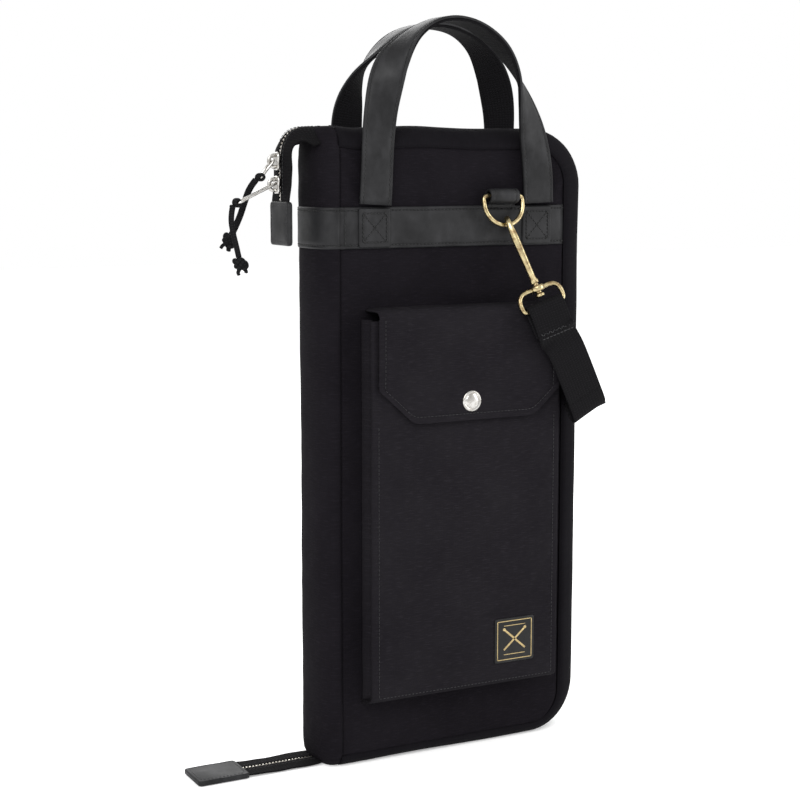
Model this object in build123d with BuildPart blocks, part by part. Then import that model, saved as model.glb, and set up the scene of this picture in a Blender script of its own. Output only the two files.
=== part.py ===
"""Drum stick bag: a flat upright canvas bag that opens like a book round three sides.

Millimetres, +Z up.  The bag stands on its narrow bottom.  The origin is on the floor, under
the middle of the body: X runs across the bag, -Y is the pocket side, and the soft spine that
joins the two covers is at -X.
"""
import os
from math import cos, pi, radians, sin, tan

from build123d import *

# ---------------------------------------------------------------- driving dimensions
BODY_RIGHT = 112.5          # free (zipped) edge of both covers
SPINE_X = -114.0            # outermost line of the soft spine
COVER_LEFT = -100.0         # where the covers end and the spine fold begins
BODY_H = 480.0
HALF_DEPTH = 26.0
WALL = 4.0                  # canvas, foam and binding of a cover
CORNER_R = 38.0             # free corners of the covers
EDGE_R = 14.0               # rounding between a cover's face and its gusset
GUSSET_EDGE = 9.0           # the gusset stops here, and the zip tape goes on
SPINE_GAP = 0.4             # slack between the spine fold and the front cover

ZIP_TAPE = 1.2
ZIP_INSET = 1.2
TEETH_EDGE = 1.6            # the tape stops here, and the row of teeth goes on
TEETH_GAP = 0.15            # half the gap between the two closed rows

BAND_LOW = 391.4
BAND_TOP = 422.0
BAND_RIGHT = 91.7
LEATHER = 1.6

POCKET_LEFT = -84.0
POCKET_RIGHT = 77.5
POCKET_LOW = 50.0
POCKET_TOP = 340.0
POCKET_FRONT = 48.0         # distance of the pocket's face in front of the bag's mid-plane
POCKET_WALL = 2.5

FLAP_LEFT = -79.8
FLAP_RIGHT = 74.4
FLAP_TOP = 348.4
FLAP_LOW = 263.2
FLAP_BACK = 49.7
FLAP_FRONT = 51.3
FLAP_SEAM_Y = 28.0
SNAP_X = -3.0
SNAP_Z = 277.5

STRAP_W = 32.0              # shoulder strap webbing
STRAP_T = 2.2
HANDLE_W = 26.0
HANDLE_T = 2.0              # each of the handle's two layers
HANDLE_Z = 423.5            # lower end of the free part of the handles

RING_X = 33.6               # middle of the front ring's bar
RING_Y = 33.0
RING_Z = 429.0
RING_R = 16.7               # centre line of the round side of the D
RING_WIRE = 1.75
RING_DROP = 5.5             # straight part of the D's sides
RING_TILT = 12.0            # the ring leans out from the bag
BACK_RING_X = -34.0

HOOK_LEAN = (-0.288, 0.304, 0.908)    # from the strap eye up to the hook's bend
HOOK_BEND = 7.3             # centre line radius of the hook's bend
HOOK_WIRE = 2.3
EYE_DROP = 50.0             # from the centre of the bend to the eye's upper bar
EYE_H = 14.0
EYE_W = 18.6                # half the distance between the eye's side bars
EYE_WIRE = 1.7

TAIL_X = -134.0             # face line of the hanging zip tail
TAIL_HALF = 15.0
TAIL_ROOT = -112.8
TAPE_T = 2.0
SLIDER_HIGH = 455.0
SLIDER_LOW = 438.0

os.makedirs("parts", exist_ok=True)


def save(part, name):
    """Label a finished piece and write it."""
    part.label = name
    export_step(part, f"parts/{name}.step")


def front(y):
    """Plane parallel to the covers, y in front of the mid-plane, facing forward."""
    return Plane.XZ.offset(y)


# ---------------------------------------------------------------- covers
def outline(inset, left):
    """Outline of a cover in the plane of its face: square at the spine, round at the free side."""
    right = BODY_RIGHT - inset
    with BuildSketch() as sketch:
        with Locations(((left + right) / 2, BODY_H / 2)):
            Rectangle(right - left, BODY_H - 2 * inset)
        corners = sketch.vertices().group_by(Axis.X)[-1]
        fillet(corners, CORNER_R - inset)
    return sketch.sketch


def cover_block(inset, left, face, edge_radius):
    """Solid cover shape from the gusset's edge to a face, with its outer edges rounded."""
    with BuildPart() as block:
        with BuildSketch(front(GUSSET_EDGE)):
            add(outline(inset, left))
        extrude(amount=face - GUSSET_EDGE)
        rim = block.faces().sort_by(Axis.Y)[0].edges()
        rim = rim - rim.sort_by(Axis.X)[:1]
        fillet(rim, edge_radius)
    return block.part


def cover_tray():
    """Front cover: face panel and half gusset in one shell, open at the zip and at the spine."""
    cavity = cover_block(WALL, COVER_LEFT - WALL, HALF_DEPTH - WALL, EDGE_R - WALL)
    with BuildPart() as tray:
        add(cover_block(0, COVER_LEFT, HALF_DEPTH, EDGE_R))
        add(cavity, mode=Mode.SUBTRACT)
    return tray.part


def rim_strip(inset, thickness, near, far):
    """Strip that runs round the three free sides, between two distances from the mid-plane."""
    with BuildPart() as strip:
        with BuildSketch(front(near)):
            add(outline(inset, COVER_LEFT))
            add(outline(inset + thickness, COVER_LEFT - WALL), mode=Mode.SUBTRACT)
        extrude(amount=far - near)
    return strip.part


def lining():
    """Padded lining that backs the flat of a cover."""
    inset = EDGE_R + 1
    with BuildPart() as sheet:
        with BuildSketch(front(HALF_DEPTH - WALL - 1.5)):
            add(outline(inset, COVER_LEFT + 2))
        extrude(amount=1.5)
    return sheet.part


def to_back(part, shift=0.0):
    """The same piece on the back of the bag, moved along X if it sits elsewhere there."""
    return mirror(part, about=Plane.XZ).moved(Location((shift, 0, 0)))


front_panel = cover_tray()
save(front_panel, "front_panel")
save(to_back(front_panel), "back_panel")

front_lining = lining()
save(front_lining, "front_lining")
save(to_back(front_lining), "back_lining")

zip_tape = rim_strip(ZIP_INSET, ZIP_TAPE, TEETH_EDGE, GUSSET_EDGE)
save(zip_tape, "front_zip_tape")
save(to_back(zip_tape), "back_zip_tape")

zip_teeth = rim_strip(ZIP_INSET - 0.6, ZIP_TAPE + 1.2, TEETH_GAP, TEETH_EDGE)
save(zip_teeth, "front_zip_teeth")
save(to_back(zip_teeth), "back_zip_teeth")


# ---------------------------------------------------------------- spine
def spine_section(inset, edge):
    """Cross-section of the fold: a flat U whose arms reach towards the covers."""
    radius = COVER_LEFT - SPINE_X - inset
    side = HALF_DEPTH - inset
    with BuildSketch() as section:
        with BuildLine():
            FilletPolyline(
                (edge, -side),
                (SPINE_X + inset, -side),
                (SPINE_X + inset, side),
                (edge, side),
                radius=radius - 1,
            )
            Line((edge, side), (edge, -side))
        make_face()
    return section.sketch


def spine_shell(outer_inset, thickness, low, high):
    """Fold of cloth or leather round the spine, between two heights."""
    edge = COVER_LEFT - SPINE_GAP
    with BuildPart() as shell:
        with BuildSketch(Plane.XY.offset(low)):
            add(spine_section(outer_inset, edge))
            add(spine_section(outer_inset + thickness, edge + 1), mode=Mode.SUBTRACT)
        extrude(amount=high - low)
    return shell.part


save(spine_shell(0, 3.0, 6.0, BODY_H - 6.0), "spine_fold")
save(spine_shell(-LEATHER, LEATHER, BAND_LOW, BAND_TOP), "spine_band")


# ---------------------------------------------------------------- stick sleeves inside
SLEEVE_LEFT = -88.0
SLEEVE_RIGHT = 96.0
SLEEVE_LOW = 22.0
SLEEVE_TOP = 300.0
SLEEVE_BACK = 20.5
SLEEVE_FRONT = 6.5
SLEEVE_WALL = 2.0
SLEEVE_COUNT = 4

sleeve_w = (SLEEVE_RIGHT - SLEEVE_LEFT - SLEEVE_WALL) / SLEEVE_COUNT
with BuildPart() as stick_sleeves:
    with BuildSketch(Plane.XY.offset(SLEEVE_LOW)):
        with Locations(((SLEEVE_LEFT + SLEEVE_RIGHT) / 2, (SLEEVE_FRONT + SLEEVE_BACK) / 2)):
            Rectangle(SLEEVE_RIGHT - SLEEVE_LEFT, SLEEVE_BACK - SLEEVE_FRONT)
    extrude(amount=SLEEVE_TOP - SLEEVE_LOW)
    with BuildSketch(Plane.XY.offset(SLEEVE_LOW + SLEEVE_WALL)):
        for number in range(SLEEVE_COUNT):
            middle = SLEEVE_LEFT + SLEEVE_WALL / 2 + (number + 0.5) * sleeve_w
            with Locations((middle, (SLEEVE_FRONT + SLEEVE_WALL + SLEEVE_BACK) / 2)):
                Rectangle(sleeve_w - SLEEVE_WALL, SLEEVE_BACK - SLEEVE_FRONT - SLEEVE_WALL)
    extrude(amount=SLEEVE_TOP - SLEEVE_LOW, mode=Mode.SUBTRACT)
save(stick_sleeves.part, "stick_sleeves")


# ---------------------------------------------------------------- leather bands
with BuildPart() as front_band:
    with BuildSketch(front(HALF_DEPTH)):
        with Locations(((COVER_LEFT + BAND_RIGHT) / 2, (BAND_LOW + BAND_TOP) / 2)):
            Rectangle(BAND_RIGHT - COVER_LEFT, BAND_TOP - BAND_LOW)
    extrude(amount=LEATHER)
save(front_band.part, "front_band")
save(to_back(front_band.part), "back_band")


# ---------------------------------------------------------------- pocket
with BuildPart() as pocket:
    with BuildSketch(front(HALF_DEPTH)):
        with Locations(((POCKET_LEFT + POCKET_RIGHT) / 2, (POCKET_LOW + POCKET_TOP) / 2)):
            Rectangle(POCKET_RIGHT - POCKET_LEFT, POCKET_TOP - POCKET_LOW)
    extrude(amount=POCKET_FRONT - HALF_DEPTH)
    face_edges = pocket.faces().sort_by(Axis.Y)[0].edges()
    fillet(face_edges - face_edges.sort_by(Axis.Z)[-1:], 5)
    inside_w = POCKET_RIGHT - POCKET_LEFT - 2 * POCKET_WALL
    inside_low = POCKET_LOW + POCKET_WALL
    with BuildSketch(front(HALF_DEPTH)):
        with Locations(((POCKET_LEFT + POCKET_RIGHT) / 2, (inside_low + POCKET_TOP + 1) / 2)):
            Rectangle(inside_w, POCKET_TOP + 1 - inside_low)
    extrude(amount=POCKET_FRONT - HALF_DEPTH - POCKET_WALL, mode=Mode.SUBTRACT)
save(pocket.part, "pocket_body")

with BuildPart() as flap_top:
    roof_front = FLAP_BACK - 0.2
    with Locations(((FLAP_LEFT + FLAP_RIGHT) / 2, -(FLAP_SEAM_Y + roof_front) / 2, FLAP_TOP - 0.8)):
        Box(FLAP_RIGHT - FLAP_LEFT, roof_front - FLAP_SEAM_Y, 1.6)
save(flap_top.part, "flap_top")

with BuildPart() as flap:
    with BuildSketch(front(FLAP_BACK)):
        with BuildLine():
            Polyline(
                (FLAP_LEFT, FLAP_TOP),
                (FLAP_LEFT, 289.0),
                (-52.0, FLAP_LOW),
                (50.0, FLAP_LOW),
                (FLAP_RIGHT, 283.0),
                (FLAP_RIGHT, FLAP_TOP),
                close=True,
            )
        make_face()
    extrude(amount=FLAP_FRONT - FLAP_BACK)
save(flap.part, "pocket_flap")


def snap_disc(near, far, radius, crown=0.0):
    """Round snap part, with its outer edge rounded where it has a crown."""
    with BuildPart() as disc:
        with BuildSketch(front(near)):
            with Locations((SNAP_X, SNAP_Z)):
                Circle(radius)
        extrude(amount=far - near)
        if crown:
            fillet(disc.edges().sort_by(Axis.Y)[0], crown)
    return disc.part


save(snap_disc(FLAP_FRONT, FLAP_FRONT + 2.2, 8.0, 1.4), "snap_cap")
save(snap_disc(49.0, FLAP_BACK, 6.0), "snap_socket")
save(snap_disc(POCKET_FRONT, 48.8, 5.5), "snap_stud")

LABEL_X = 37.6
LABEL_Z = 88.0
LABEL_SIZE = 35.0
with BuildPart() as label:
    with BuildSketch(front(POCKET_FRONT)):
        with Locations((LABEL_X, LABEL_Z)):
            RectangleRounded(LABEL_SIZE, LABEL_SIZE, 1.2)
    extrude(amount=0.8)
save(label.part, "pocket_label")


# ---------------------------------------------------------------- straps and handles
def strap_loft(stations, width, near, far):
    """Flat strap through stations of (centre, direction, width direction).

    near and far are the distances of its two faces from the centre line, along the normal.
    """
    with BuildPart() as strap:
        for centre, along, across in stations:
            plane = Plane(origin=centre, x_dir=across, z_dir=along)
            with BuildSketch(plane):
                with Locations((0, (near + far) / 2)):
                    Rectangle(width, far - near)
        loft(ruled=True)
    return strap.part


# Handle stations: X, Y and Z of the centre line, and how far the strap has turned edge-on.
FRONT_HANDLE = [
    (-72.5, -30.5, HANDLE_Z, 0),
    (-70.0, -30.5, 470, 0),
    (-66.5, -30.5, 500, 10),
    (-59.5, -30.0, 524, 40),
    (-47.5, -29.5, 541, 75),
    (-33.0, -29.0, 552, 90),
    (-16.0, -29.0, 558, 90),
    (2.0, -29.0, 557, 90),
    (19.0, -29.0, 550, 90),
    (34.0, -29.0, 538, 85),
    (46.0, -29.5, 521, 65),
    (55.0, -30.0, 499, 35),
    (61.5, -30.5, 474, 10),
    (65.5, -30.5, 448, 0),
    (66.5, -30.5, HANDLE_Z, 0),
]
BACK_HANDLE = [
    (-67.5, 30.5, HANDLE_Z, 0),
    (-67.0, 30.5, 470, 0),
    (-65.0, 30.5, 494, 10),
    (-58.5, 30.0, 514, 40),
    (-46.5, 29.5, 532, 75),
    (-30.0, 29.0, 547, 90),
    (-10.0, 29.0, 556, 90),
    (12.0, 29.0, 558, 90),
    (32.0, 29.0, 553, 90),
    (49.0, 29.5, 541, 75),
    (60.5, 30.0, 522, 45),
    (66.5, 30.5, 498, 15),
    (67.5, 30.5, 470, 0),
    (67.0, 30.5, HANDLE_Z, 0),
]


def handle_stations(points, top_across):
    """Turn handle points into loft stations, with the direction taken from the neighbours.

    top_across is the width direction where the strap has turned fully edge-on.
    """
    places = [Vector(x, y, z) for x, y, z, _ in points]
    stations = []
    for index, place in enumerate(places):
        before = places[max(index - 1, 0)]
        after = places[min(index + 1, len(places) - 1)]
        along = (after - before).normalized()
        if index in (0, len(places) - 1):
            along = Vector(0, 0, 1 if index == 0 else -1)
        turned = radians(points[index][3])
        side = Vector(0, -1, 0).cross(along).normalized()
        across = side * cos(turned) + top_across * sin(turned)
        stations.append((place, along, across))
    return stations


# The leather is the outer layer of both arches and faces away from the bag on their legs.
front_handle = handle_stations(FRONT_HANDLE, Vector(0, 1, 0))
save(strap_loft(front_handle, HANDLE_W, 0, HANDLE_T), "front_handle_leather")
save(strap_loft(front_handle, HANDLE_W, -HANDLE_T, 0), "front_handle_webbing")
back_handle = handle_stations(BACK_HANDLE, Vector(0, -1, 0))
save(strap_loft(back_handle, HANDLE_W, 0, HANDLE_T), "back_handle_webbing")
save(strap_loft(back_handle, HANDLE_W, -HANDLE_T, 0), "back_handle_leather")


def handle_feet(points):
    """The sewn-down ends of a handle, two pads on the leather band."""
    with BuildPart() as feet:
        with BuildSketch(front(HALF_DEPTH + LEATHER)):
            for x in (points[0][0], points[-1][0]):
                with Locations((x, (BAND_LOW + 1 + BAND_TOP - 1) / 2)):
                    Rectangle(HANDLE_W, BAND_TOP - BAND_LOW - 2)
        extrude(amount=LEATHER)
    return feet.part


save(handle_feet(FRONT_HANDLE), "front_handle_feet")
save(to_back(handle_feet(BACK_HANDLE)), "back_handle_feet")


# ---------------------------------------------------------------- ring, hook and eye
ring_plane = Plane(
    origin=(RING_X, -RING_Y, RING_Z),
    x_dir=(1, 0, 0),
    z_dir=(0, -cos(radians(RING_TILT)), sin(radians(RING_TILT))),
)
with BuildPart() as d_ring:
    with BuildLine(ring_plane) as ring_path:
        bend = 3.0
        Line((-RING_R + bend, 0), (RING_R - bend, 0))
        RadiusArc((RING_R - bend, 0), (RING_R, -bend), bend)
        Line((RING_R, -bend), (RING_R, -RING_DROP))
        RadiusArc((RING_R, -RING_DROP), (-RING_R, -RING_DROP), RING_R)
        Line((-RING_R, -RING_DROP), (-RING_R, -bend))
        RadiusArc((-RING_R, -bend), (-RING_R + bend, 0), bend)
    with BuildSketch(Plane(origin=ring_path.line @ 0, z_dir=ring_path.line % 0)):
        Circle(RING_WIRE)
    sweep(path=ring_path.line)
save(d_ring.part, "front_ring")
save(to_back(d_ring.part, BACK_RING_X - RING_X), "back_ring")

LOOP_HALF = 11.5
with BuildPart() as ring_loop:
    with BuildSketch(Plane.YZ.offset(RING_X - LOOP_HALF)):
        with Locations((-RING_Y, RING_Z)):
            Circle(RING_WIRE + 2.6)
        with Locations((-30.0, RING_Z - 0.6)):
            Rectangle(5.0, 7.0)
        with Locations((-RING_Y, RING_Z)):
            Circle(RING_WIRE + 0.4, mode=Mode.SUBTRACT)
    extrude(amount=2 * LOOP_HALF)
save(ring_loop.part, "front_ring_loop")
save(to_back(ring_loop.part, BACK_RING_X - RING_X), "back_ring_loop")

up = Vector(*HOOK_LEAN).normalized()
CONTACT_TURN = radians(12)             # the hook hangs a little to the free side of the D
contact_drop = RING_DROP + RING_R * cos(CONTACT_TURN)
contact = ring_plane.from_local_coords(Vector(RING_R * sin(CONTACT_TURN), -contact_drop, 0))
HOOK_SLACK = 0.5
bend_centre = contact - up * (HOOK_BEND - HOOK_WIRE - RING_WIRE - HOOK_SLACK)
HOOK_TURN = radians(31)                # the hook has swivelled with its open side to the spine
toward = Vector(sin(HOOK_TURN), cos(HOOK_TURN), 0)
to_bag = (toward - up * toward.dot(up)).normalized()
hook_plane = Plane(origin=bend_centre, x_dir=to_bag, z_dir=to_bag.cross(up))

BASE_TOP = -21.0
BASE_LOW = -31.0
NECK_LOW = -45.5
COLLAR_BLOCK = 2.8          # half width of the square end of the hook's body
SHAFT_LOW = -54.4
SHAFT_R = 2.2
BLOCK_SIDE = -HOOK_BEND - HOOK_WIRE - 0.2


def hook_level(level):
    """Plane across the hook's long axis at a level, measured up from the bend's centre."""
    return Plane(origin=bend_centre + up * level, x_dir=to_bag, z_dir=up)


with BuildPart() as hook_body:
    with BuildLine(hook_plane) as bend_path:
        Line((-HOOK_BEND, BASE_TOP - 2), (-HOOK_BEND, 0))
        RadiusArc((-HOOK_BEND, 0), (HOOK_BEND, 0), HOOK_BEND)
        Line((HOOK_BEND, 0), (HOOK_BEND, -2.6))
    with BuildSketch(Plane(origin=bend_path.line @ 0, z_dir=bend_path.line % 0)):
        Circle(HOOK_WIRE)
    sweep(path=bend_path.line)
    with BuildSketch(hook_plane):
        with BuildLine():
            Polyline(
                (BLOCK_SIDE, BASE_TOP),
                (2.2, BASE_TOP),
                (2.2, BASE_TOP - 3.0),
                (3.6, BASE_TOP - 5.5),
                (3.8, BASE_LOW),
                (COLLAR_BLOCK, NECK_LOW + 4),
                (-COLLAR_BLOCK, NECK_LOW + 4),
                (BLOCK_SIDE + 1.6, BASE_LOW),
                close=True,
            )
        make_face()
    extrude(amount=2.5, both=True)
    with BuildSketch(hook_level(NECK_LOW + 4.5)):
        Rectangle(2 * COLLAR_BLOCK + 0.6, 2 * COLLAR_BLOCK + 0.6)
    extrude(amount=-4.5)
    with BuildSketch(hook_level(NECK_LOW)):
        Circle(SHAFT_R)
    extrude(amount=SHAFT_LOW - NECK_LOW)
    with BuildSketch(hook_level(SHAFT_LOW)):
        Circle(3.6)
    extrude(amount=-2.4)
save(hook_body.part, "hook_body")
save(to_back(hook_body.part, BACK_RING_X - RING_X), "back_hook_body")

with BuildPart() as hook_gate:
    with BuildSketch(hook_plane):
        with BuildLine():
            Polyline(
                (5.0, -21.0),
                (5.6, -5.2),
                (8.8, -5.2),
                (9.2, -20.0),
                (9.6, -28.0),
                (4.6, -28.0),
                (4.6, -22.0),
                close=True,
            )
        make_face()
    extrude(amount=1.9, both=True)
save(hook_gate.part, "hook_gate")
save(to_back(hook_gate.part, BACK_RING_X - RING_X), "back_hook_gate")

across_eye = Vector(0, 1, 0).cross(up).normalized()
eye_plane = Plane(origin=bend_centre - up * EYE_DROP, x_dir=across_eye, z_dir=across_eye.cross(up))
EYE_CORNER = 2.4
COLLAR_R = 5.2


def rounded_loop(half, drop, corner):
    """Closed wire rectangle that hangs below the line's origin, with round corners."""
    Line((0, 0), (half - corner, 0))
    RadiusArc((half - corner, 0), (half, -corner), corner)
    Line((half, -corner), (half, corner - drop))
    RadiusArc((half, corner - drop), (half - corner, -drop), corner)
    Line((half - corner, -drop), (corner - half, -drop))
    RadiusArc((corner - half, -drop), (-half, corner - drop), corner)
    Line((-half, corner - drop), (-half, -corner))
    RadiusArc((-half, -corner), (corner - half, 0), corner)
    Line((corner - half, 0), (0, 0))


with BuildPart() as strap_eye:
    with BuildLine(eye_plane) as eye_path:
        rounded_loop(EYE_W, EYE_H, EYE_CORNER)
    with BuildSketch(Plane(origin=eye_path.line @ 0, z_dir=eye_path.line % 0)):
        Circle(EYE_WIRE)
    sweep(path=eye_path.line)
    with BuildSketch(hook_level(-EYE_DROP - 4)):
        Circle(COLLAR_R)
    extrude(amount=8)
    with BuildSketch(hook_level(-EYE_DROP - 4)):
        Circle(SHAFT_R + 0.3)
    extrude(amount=8, mode=Mode.SUBTRACT)
save(strap_eye.part, "strap_eye")
save(to_back(strap_eye.part, BACK_RING_X - RING_X), "back_strap_eye")


# ---------------------------------------------------------------- shoulder strap
bar = bend_centre - up * (EYE_DROP + EYE_H)
fold_dir = Vector(0.477, 0, -0.879)
fold_across = Vector(0.879, 0, 0.477)


def eye_loop():
    """End of the strap, turned round the eye's lower bar."""
    with BuildPart() as loop:
        start = bar - across_eye * (STRAP_W / 2)
        with BuildSketch(Plane(origin=start, x_dir=(0, 1, 0), z_dir=across_eye)):
            Circle(EYE_WIRE + 0.3 + STRAP_T)
            Circle(EYE_WIRE + 0.3, mode=Mode.SUBTRACT)
        extrude(amount=STRAP_W)
    return loop.part


hanging = [
    (bar - up * 3.4, -up, across_eye),
    (Vector(76.5, -58.3, 311.5), fold_dir, fold_across),
    (Vector(94.0, -57.5, 276.0), fold_dir, fold_across),
]
with BuildPart() as strap_front:
    add(eye_loop())
    add(strap_loft(hanging, STRAP_W, -STRAP_T / 2, STRAP_T / 2))
save(strap_front.part, "strap_front")

flat_across = Vector(0, 0, 1)
turning = [
    (Vector(94.3, -57.5, 275.4), fold_dir, fold_across),
    (Vector(98.2, -57.0, 267.0), fold_dir, fold_across),
    (Vector(101.4, -52.5, 261.5), Vector(0.2, 0.9, -0.3), fold_across),
    (Vector(103.5, -46.5, 267.0), Vector(0.2, 0.3, 0.9), Vector(0.9, -0.1, 0.3)),
    (Vector(106.5, -40.0, 275.0), Vector(0.75, 0.45, 0.45), Vector(-0.5, 0, 0.86)),
    (Vector(113.0, -30.5, 279.0), Vector(0.7, 0.7, 0.15), Vector(-0.2, 0, 0.98)),
    (Vector(117.4, -16.0, 280.0), Vector(0.15, 1, 0), flat_across),
    (Vector(117.8, 2.0, 280.0), Vector(0, 1, 0), flat_across),
    (Vector(116.8, 17.0, 280.0), Vector(-0.25, 1, 0), flat_across),
    (Vector(109.8, 28.8, 280.0), Vector(-0.8, 0.7, 0), flat_across),
]


def wrap_stations(points):
    """Make each station's width direction square to its direction of travel."""
    squared = []
    for centre, along, across in points:
        along = along.normalized()
        across = (across - along * across.dot(along)).normalized()
        squared.append((centre, along, across))
    return squared


save(strap_loft(wrap_stations(turning), STRAP_W, -STRAP_T / 2, STRAP_T / 2), "strap_turn")

HANK_LEFT = 22.0
HANK_LOW = 132.0
HANK_TOP = 296.0
HANK_NEAR = 28.5            # distance of the folded strap behind the mid-plane
HANK_DEEP = 18.0
TIE_LOW = 200.0
TIE_H = 18.0
TIE_T = 1.8
behind = [
    (Vector(109.0, 29.4, 280.0), Vector(-1, 0.45, 0), flat_across),
    (Vector(98.0, 33.0, 280.0), Vector(-1, 0.15, 0), flat_across),
    (Vector(HANK_LEFT + STRAP_W + 0.2, 37.0, 280.0), Vector(-1, 0, 0), flat_across),
]
save(strap_loft(wrap_stations(behind), STRAP_W, -STRAP_T / 2, STRAP_T / 2), "strap_back")

with BuildPart() as strap_hank:
    with BuildSketch(front(-HANK_NEAR)):
        with Locations((HANK_LEFT + STRAP_W / 2, (HANK_LOW + HANK_TOP) / 2)):
            RectangleRounded(STRAP_W, HANK_TOP - HANK_LOW, 6)
    extrude(amount=-HANK_DEEP)
save(strap_hank.part, "strap_hank")

with BuildPart() as hank_tie:
    with BuildSketch(Plane.XY.offset(TIE_LOW)):
        with Locations((HANK_LEFT + STRAP_W / 2, HANK_NEAR + HANK_DEEP / 2)):
            Rectangle(STRAP_W + 2 * TIE_T, HANK_DEEP + 2 * TIE_T)
            Rectangle(STRAP_W + 0.4, HANK_DEEP + 0.4, mode=Mode.SUBTRACT)
    extrude(amount=TIE_H)
save(hank_tie.part, "hank_tie")

back_bar = Vector(bar.X + BACK_RING_X - RING_X, -bar.Y, bar.Z)
back_up = Vector(up.X, -up.Y, up.Z)
back_across = Vector(0, 1, 0).cross(back_up).normalized()
down_to_hank = [
    (back_bar - back_up * 3.4, -back_up, back_across),
    (Vector(9.0, 58.5, 327.0), Vector(0.75, -0.15, -0.65), Vector(0.66, 0, 0.75)),
    (Vector(26.0, 53.0, 310.5), Vector(0.6, -0.35, -0.7), Vector(0.8, 0, 0.6)),
    (Vector(HANK_LEFT + STRAP_W / 2, 46.0, 297.0), Vector(0, -0.45, -0.9), Vector(1, 0, 0)),
]
back_loop = to_back(eye_loop(), BACK_RING_X - RING_X)
with BuildPart() as strap_far_end:
    add(back_loop)
    add(strap_loft(wrap_stations(down_to_hank), STRAP_W, -STRAP_T / 2, STRAP_T / 2))
save(strap_far_end.part, "strap_far_end")

ADJUSTER_X = 84.0
with BuildPart() as strap_adjuster:
    with BuildSketch(front(-39.2)):
        with Locations((ADJUSTER_X, 280.0)):
            RectangleRounded(24.0, 42.0, 4)
            Rectangle(5.5, STRAP_W + 2, mode=Mode.SUBTRACT)
        with Locations((ADJUSTER_X - 7.5, 280.0), (ADJUSTER_X + 7.5, 280.0)):
            Rectangle(4.5, STRAP_W + 2, mode=Mode.SUBTRACT)
    extrude(amount=-2.6)
save(strap_adjuster.part, "strap_adjuster")


# ---------------------------------------------------------------- zip tails
def tail_route():
    """Middle line of the upper tail: out of the top of the zip, over, and down."""
    over = BODY_H - 1.5
    return [(TAIL_ROOT, over), (-122.0, over), (-133.0, 471.0), (TAIL_X, 458.0), (TAIL_X, 426.0)]


def tail_strips(thickness, near, far):
    """Two strips that follow the upper tail, one on each side of its middle."""
    with BuildPart() as strips:
        for low in (near, -far):
            with BuildSketch(Plane.XZ.offset(low)):
                with BuildLine() as line:
                    FilletPolyline(*tail_route(), radius=7)
                trace(line.line, line_width=thickness)
            extrude(amount=far - near)
    return strips.part


save(tail_strips(TAPE_T, 3.2, TAIL_HALF), "top_tail_tape")
save(tail_strips(3.6, 1.2, 3.2), "top_tail_teeth")

with BuildPart() as top_tail_tab:
    with BuildSketch(Plane.YZ.offset(TAIL_X)):
        with Locations((0, 410.0)):
            RectangleRounded(2 * TAIL_HALF + 3, 31.8, 2)
    extrude(amount=2.4, both=True)
save(top_tail_tab.part, "top_tail_tab")

FLOOR_TAIL_END = -211.0
FLOOR_TAB = 41.0
floor_tape_end = FLOOR_TAIL_END + FLOOR_TAB


def floor_strips(near, far, low, high):
    """Two strips of the tail that lies on the floor."""
    with BuildPart() as strips:
        for middle in ((near + far) / 2, -(near + far) / 2):
            with Locations(((floor_tape_end + TAIL_ROOT) / 2, middle, (low + high) / 2)):
                Box(TAIL_ROOT - floor_tape_end, far - near, high - low)
    return strips.part


save(floor_strips(3.2, TAIL_HALF, 1.0, 3.0), "bottom_tail_tape")
save(floor_strips(0.2, 3.2, 0.4, 4.0), "bottom_tail_teeth")

with BuildPart() as bottom_tail_tab:
    with BuildSketch(Plane.XY):
        with Locations((FLOOR_TAIL_END + FLOOR_TAB / 2 - 0.1, 0)):
            RectangleRounded(FLOOR_TAB - 0.2, 2 * TAIL_HALF + 3, 2)
    extrude(amount=4.6)
save(bottom_tail_tab.part, "bottom_tail_tab")


# ---------------------------------------------------------------- sliders, pullers and cords
SLIDER_H = 13.0
SLIDER_W = 10.0
SLIDER_T = 9.4
BAIL_OUT = 7.2              # how far the puller's pivot stands out from the tail


def slider(z):
    """Zip slider: two plates joined by a post between the rows of teeth, and a bail outside."""
    with BuildPart() as body:
        with Locations((TAIL_X, 0, z)):
            Box(SLIDER_T, SLIDER_W, SLIDER_H)
        fillet(body.edges().filter_by(Axis.X), 2.5)
        with Locations((TAIL_X, 0, z)):
            Box(TAPE_T + 0.8, SLIDER_W + 2, SLIDER_H + 2, mode=Mode.SUBTRACT)
            Box(4.4, 7.2, SLIDER_H + 2, mode=Mode.SUBTRACT)
            Box(SLIDER_T - 2, 1.8, 3.0)
        with BuildSketch(Plane.XZ.offset(-1.6)):
            with Locations((TAIL_X - BAIL_OUT + 0.4, z)):
                RectangleRounded(6.0, 9.0, 1.5)
                Circle(1.4, mode=Mode.SUBTRACT)
        extrude(amount=3.2)
    return body.part


save(slider(SLIDER_HIGH), "upper_slider")
save(slider(SLIDER_LOW), "lower_slider")

PULL_WIRE = 0.9
PULL_HALF = 2.9


def puller(z, tip):
    """Wire puller: an eye through the slider's bail and a slim loop out to its tip."""
    pivot = Vector(TAIL_X - BAIL_OUT + 0.4, 0, z)
    reach = Vector(*tip) - pivot
    side = Vector(0, 1, 0)
    plane = Plane(origin=pivot, x_dir=side, z_dir=reach.cross(side))
    with BuildPart() as wire:
        with BuildLine(plane) as path:
            rounded_loop(PULL_HALF, reach.length, 1.4)
        with BuildSketch(Plane(origin=path.line @ 0, z_dir=path.line % 0)):
            Circle(PULL_WIRE)
        sweep(path=path.line)
    return wire.part


UPPER_TIP = (-150.5, 0, 443.2)
LOWER_TIP = (-168.5, 0, 425.0)
save(puller(SLIDER_HIGH, UPPER_TIP), "upper_puller")
save(puller(SLIDER_LOW, LOWER_TIP), "lower_puller")

CORD_R = 2.4


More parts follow.
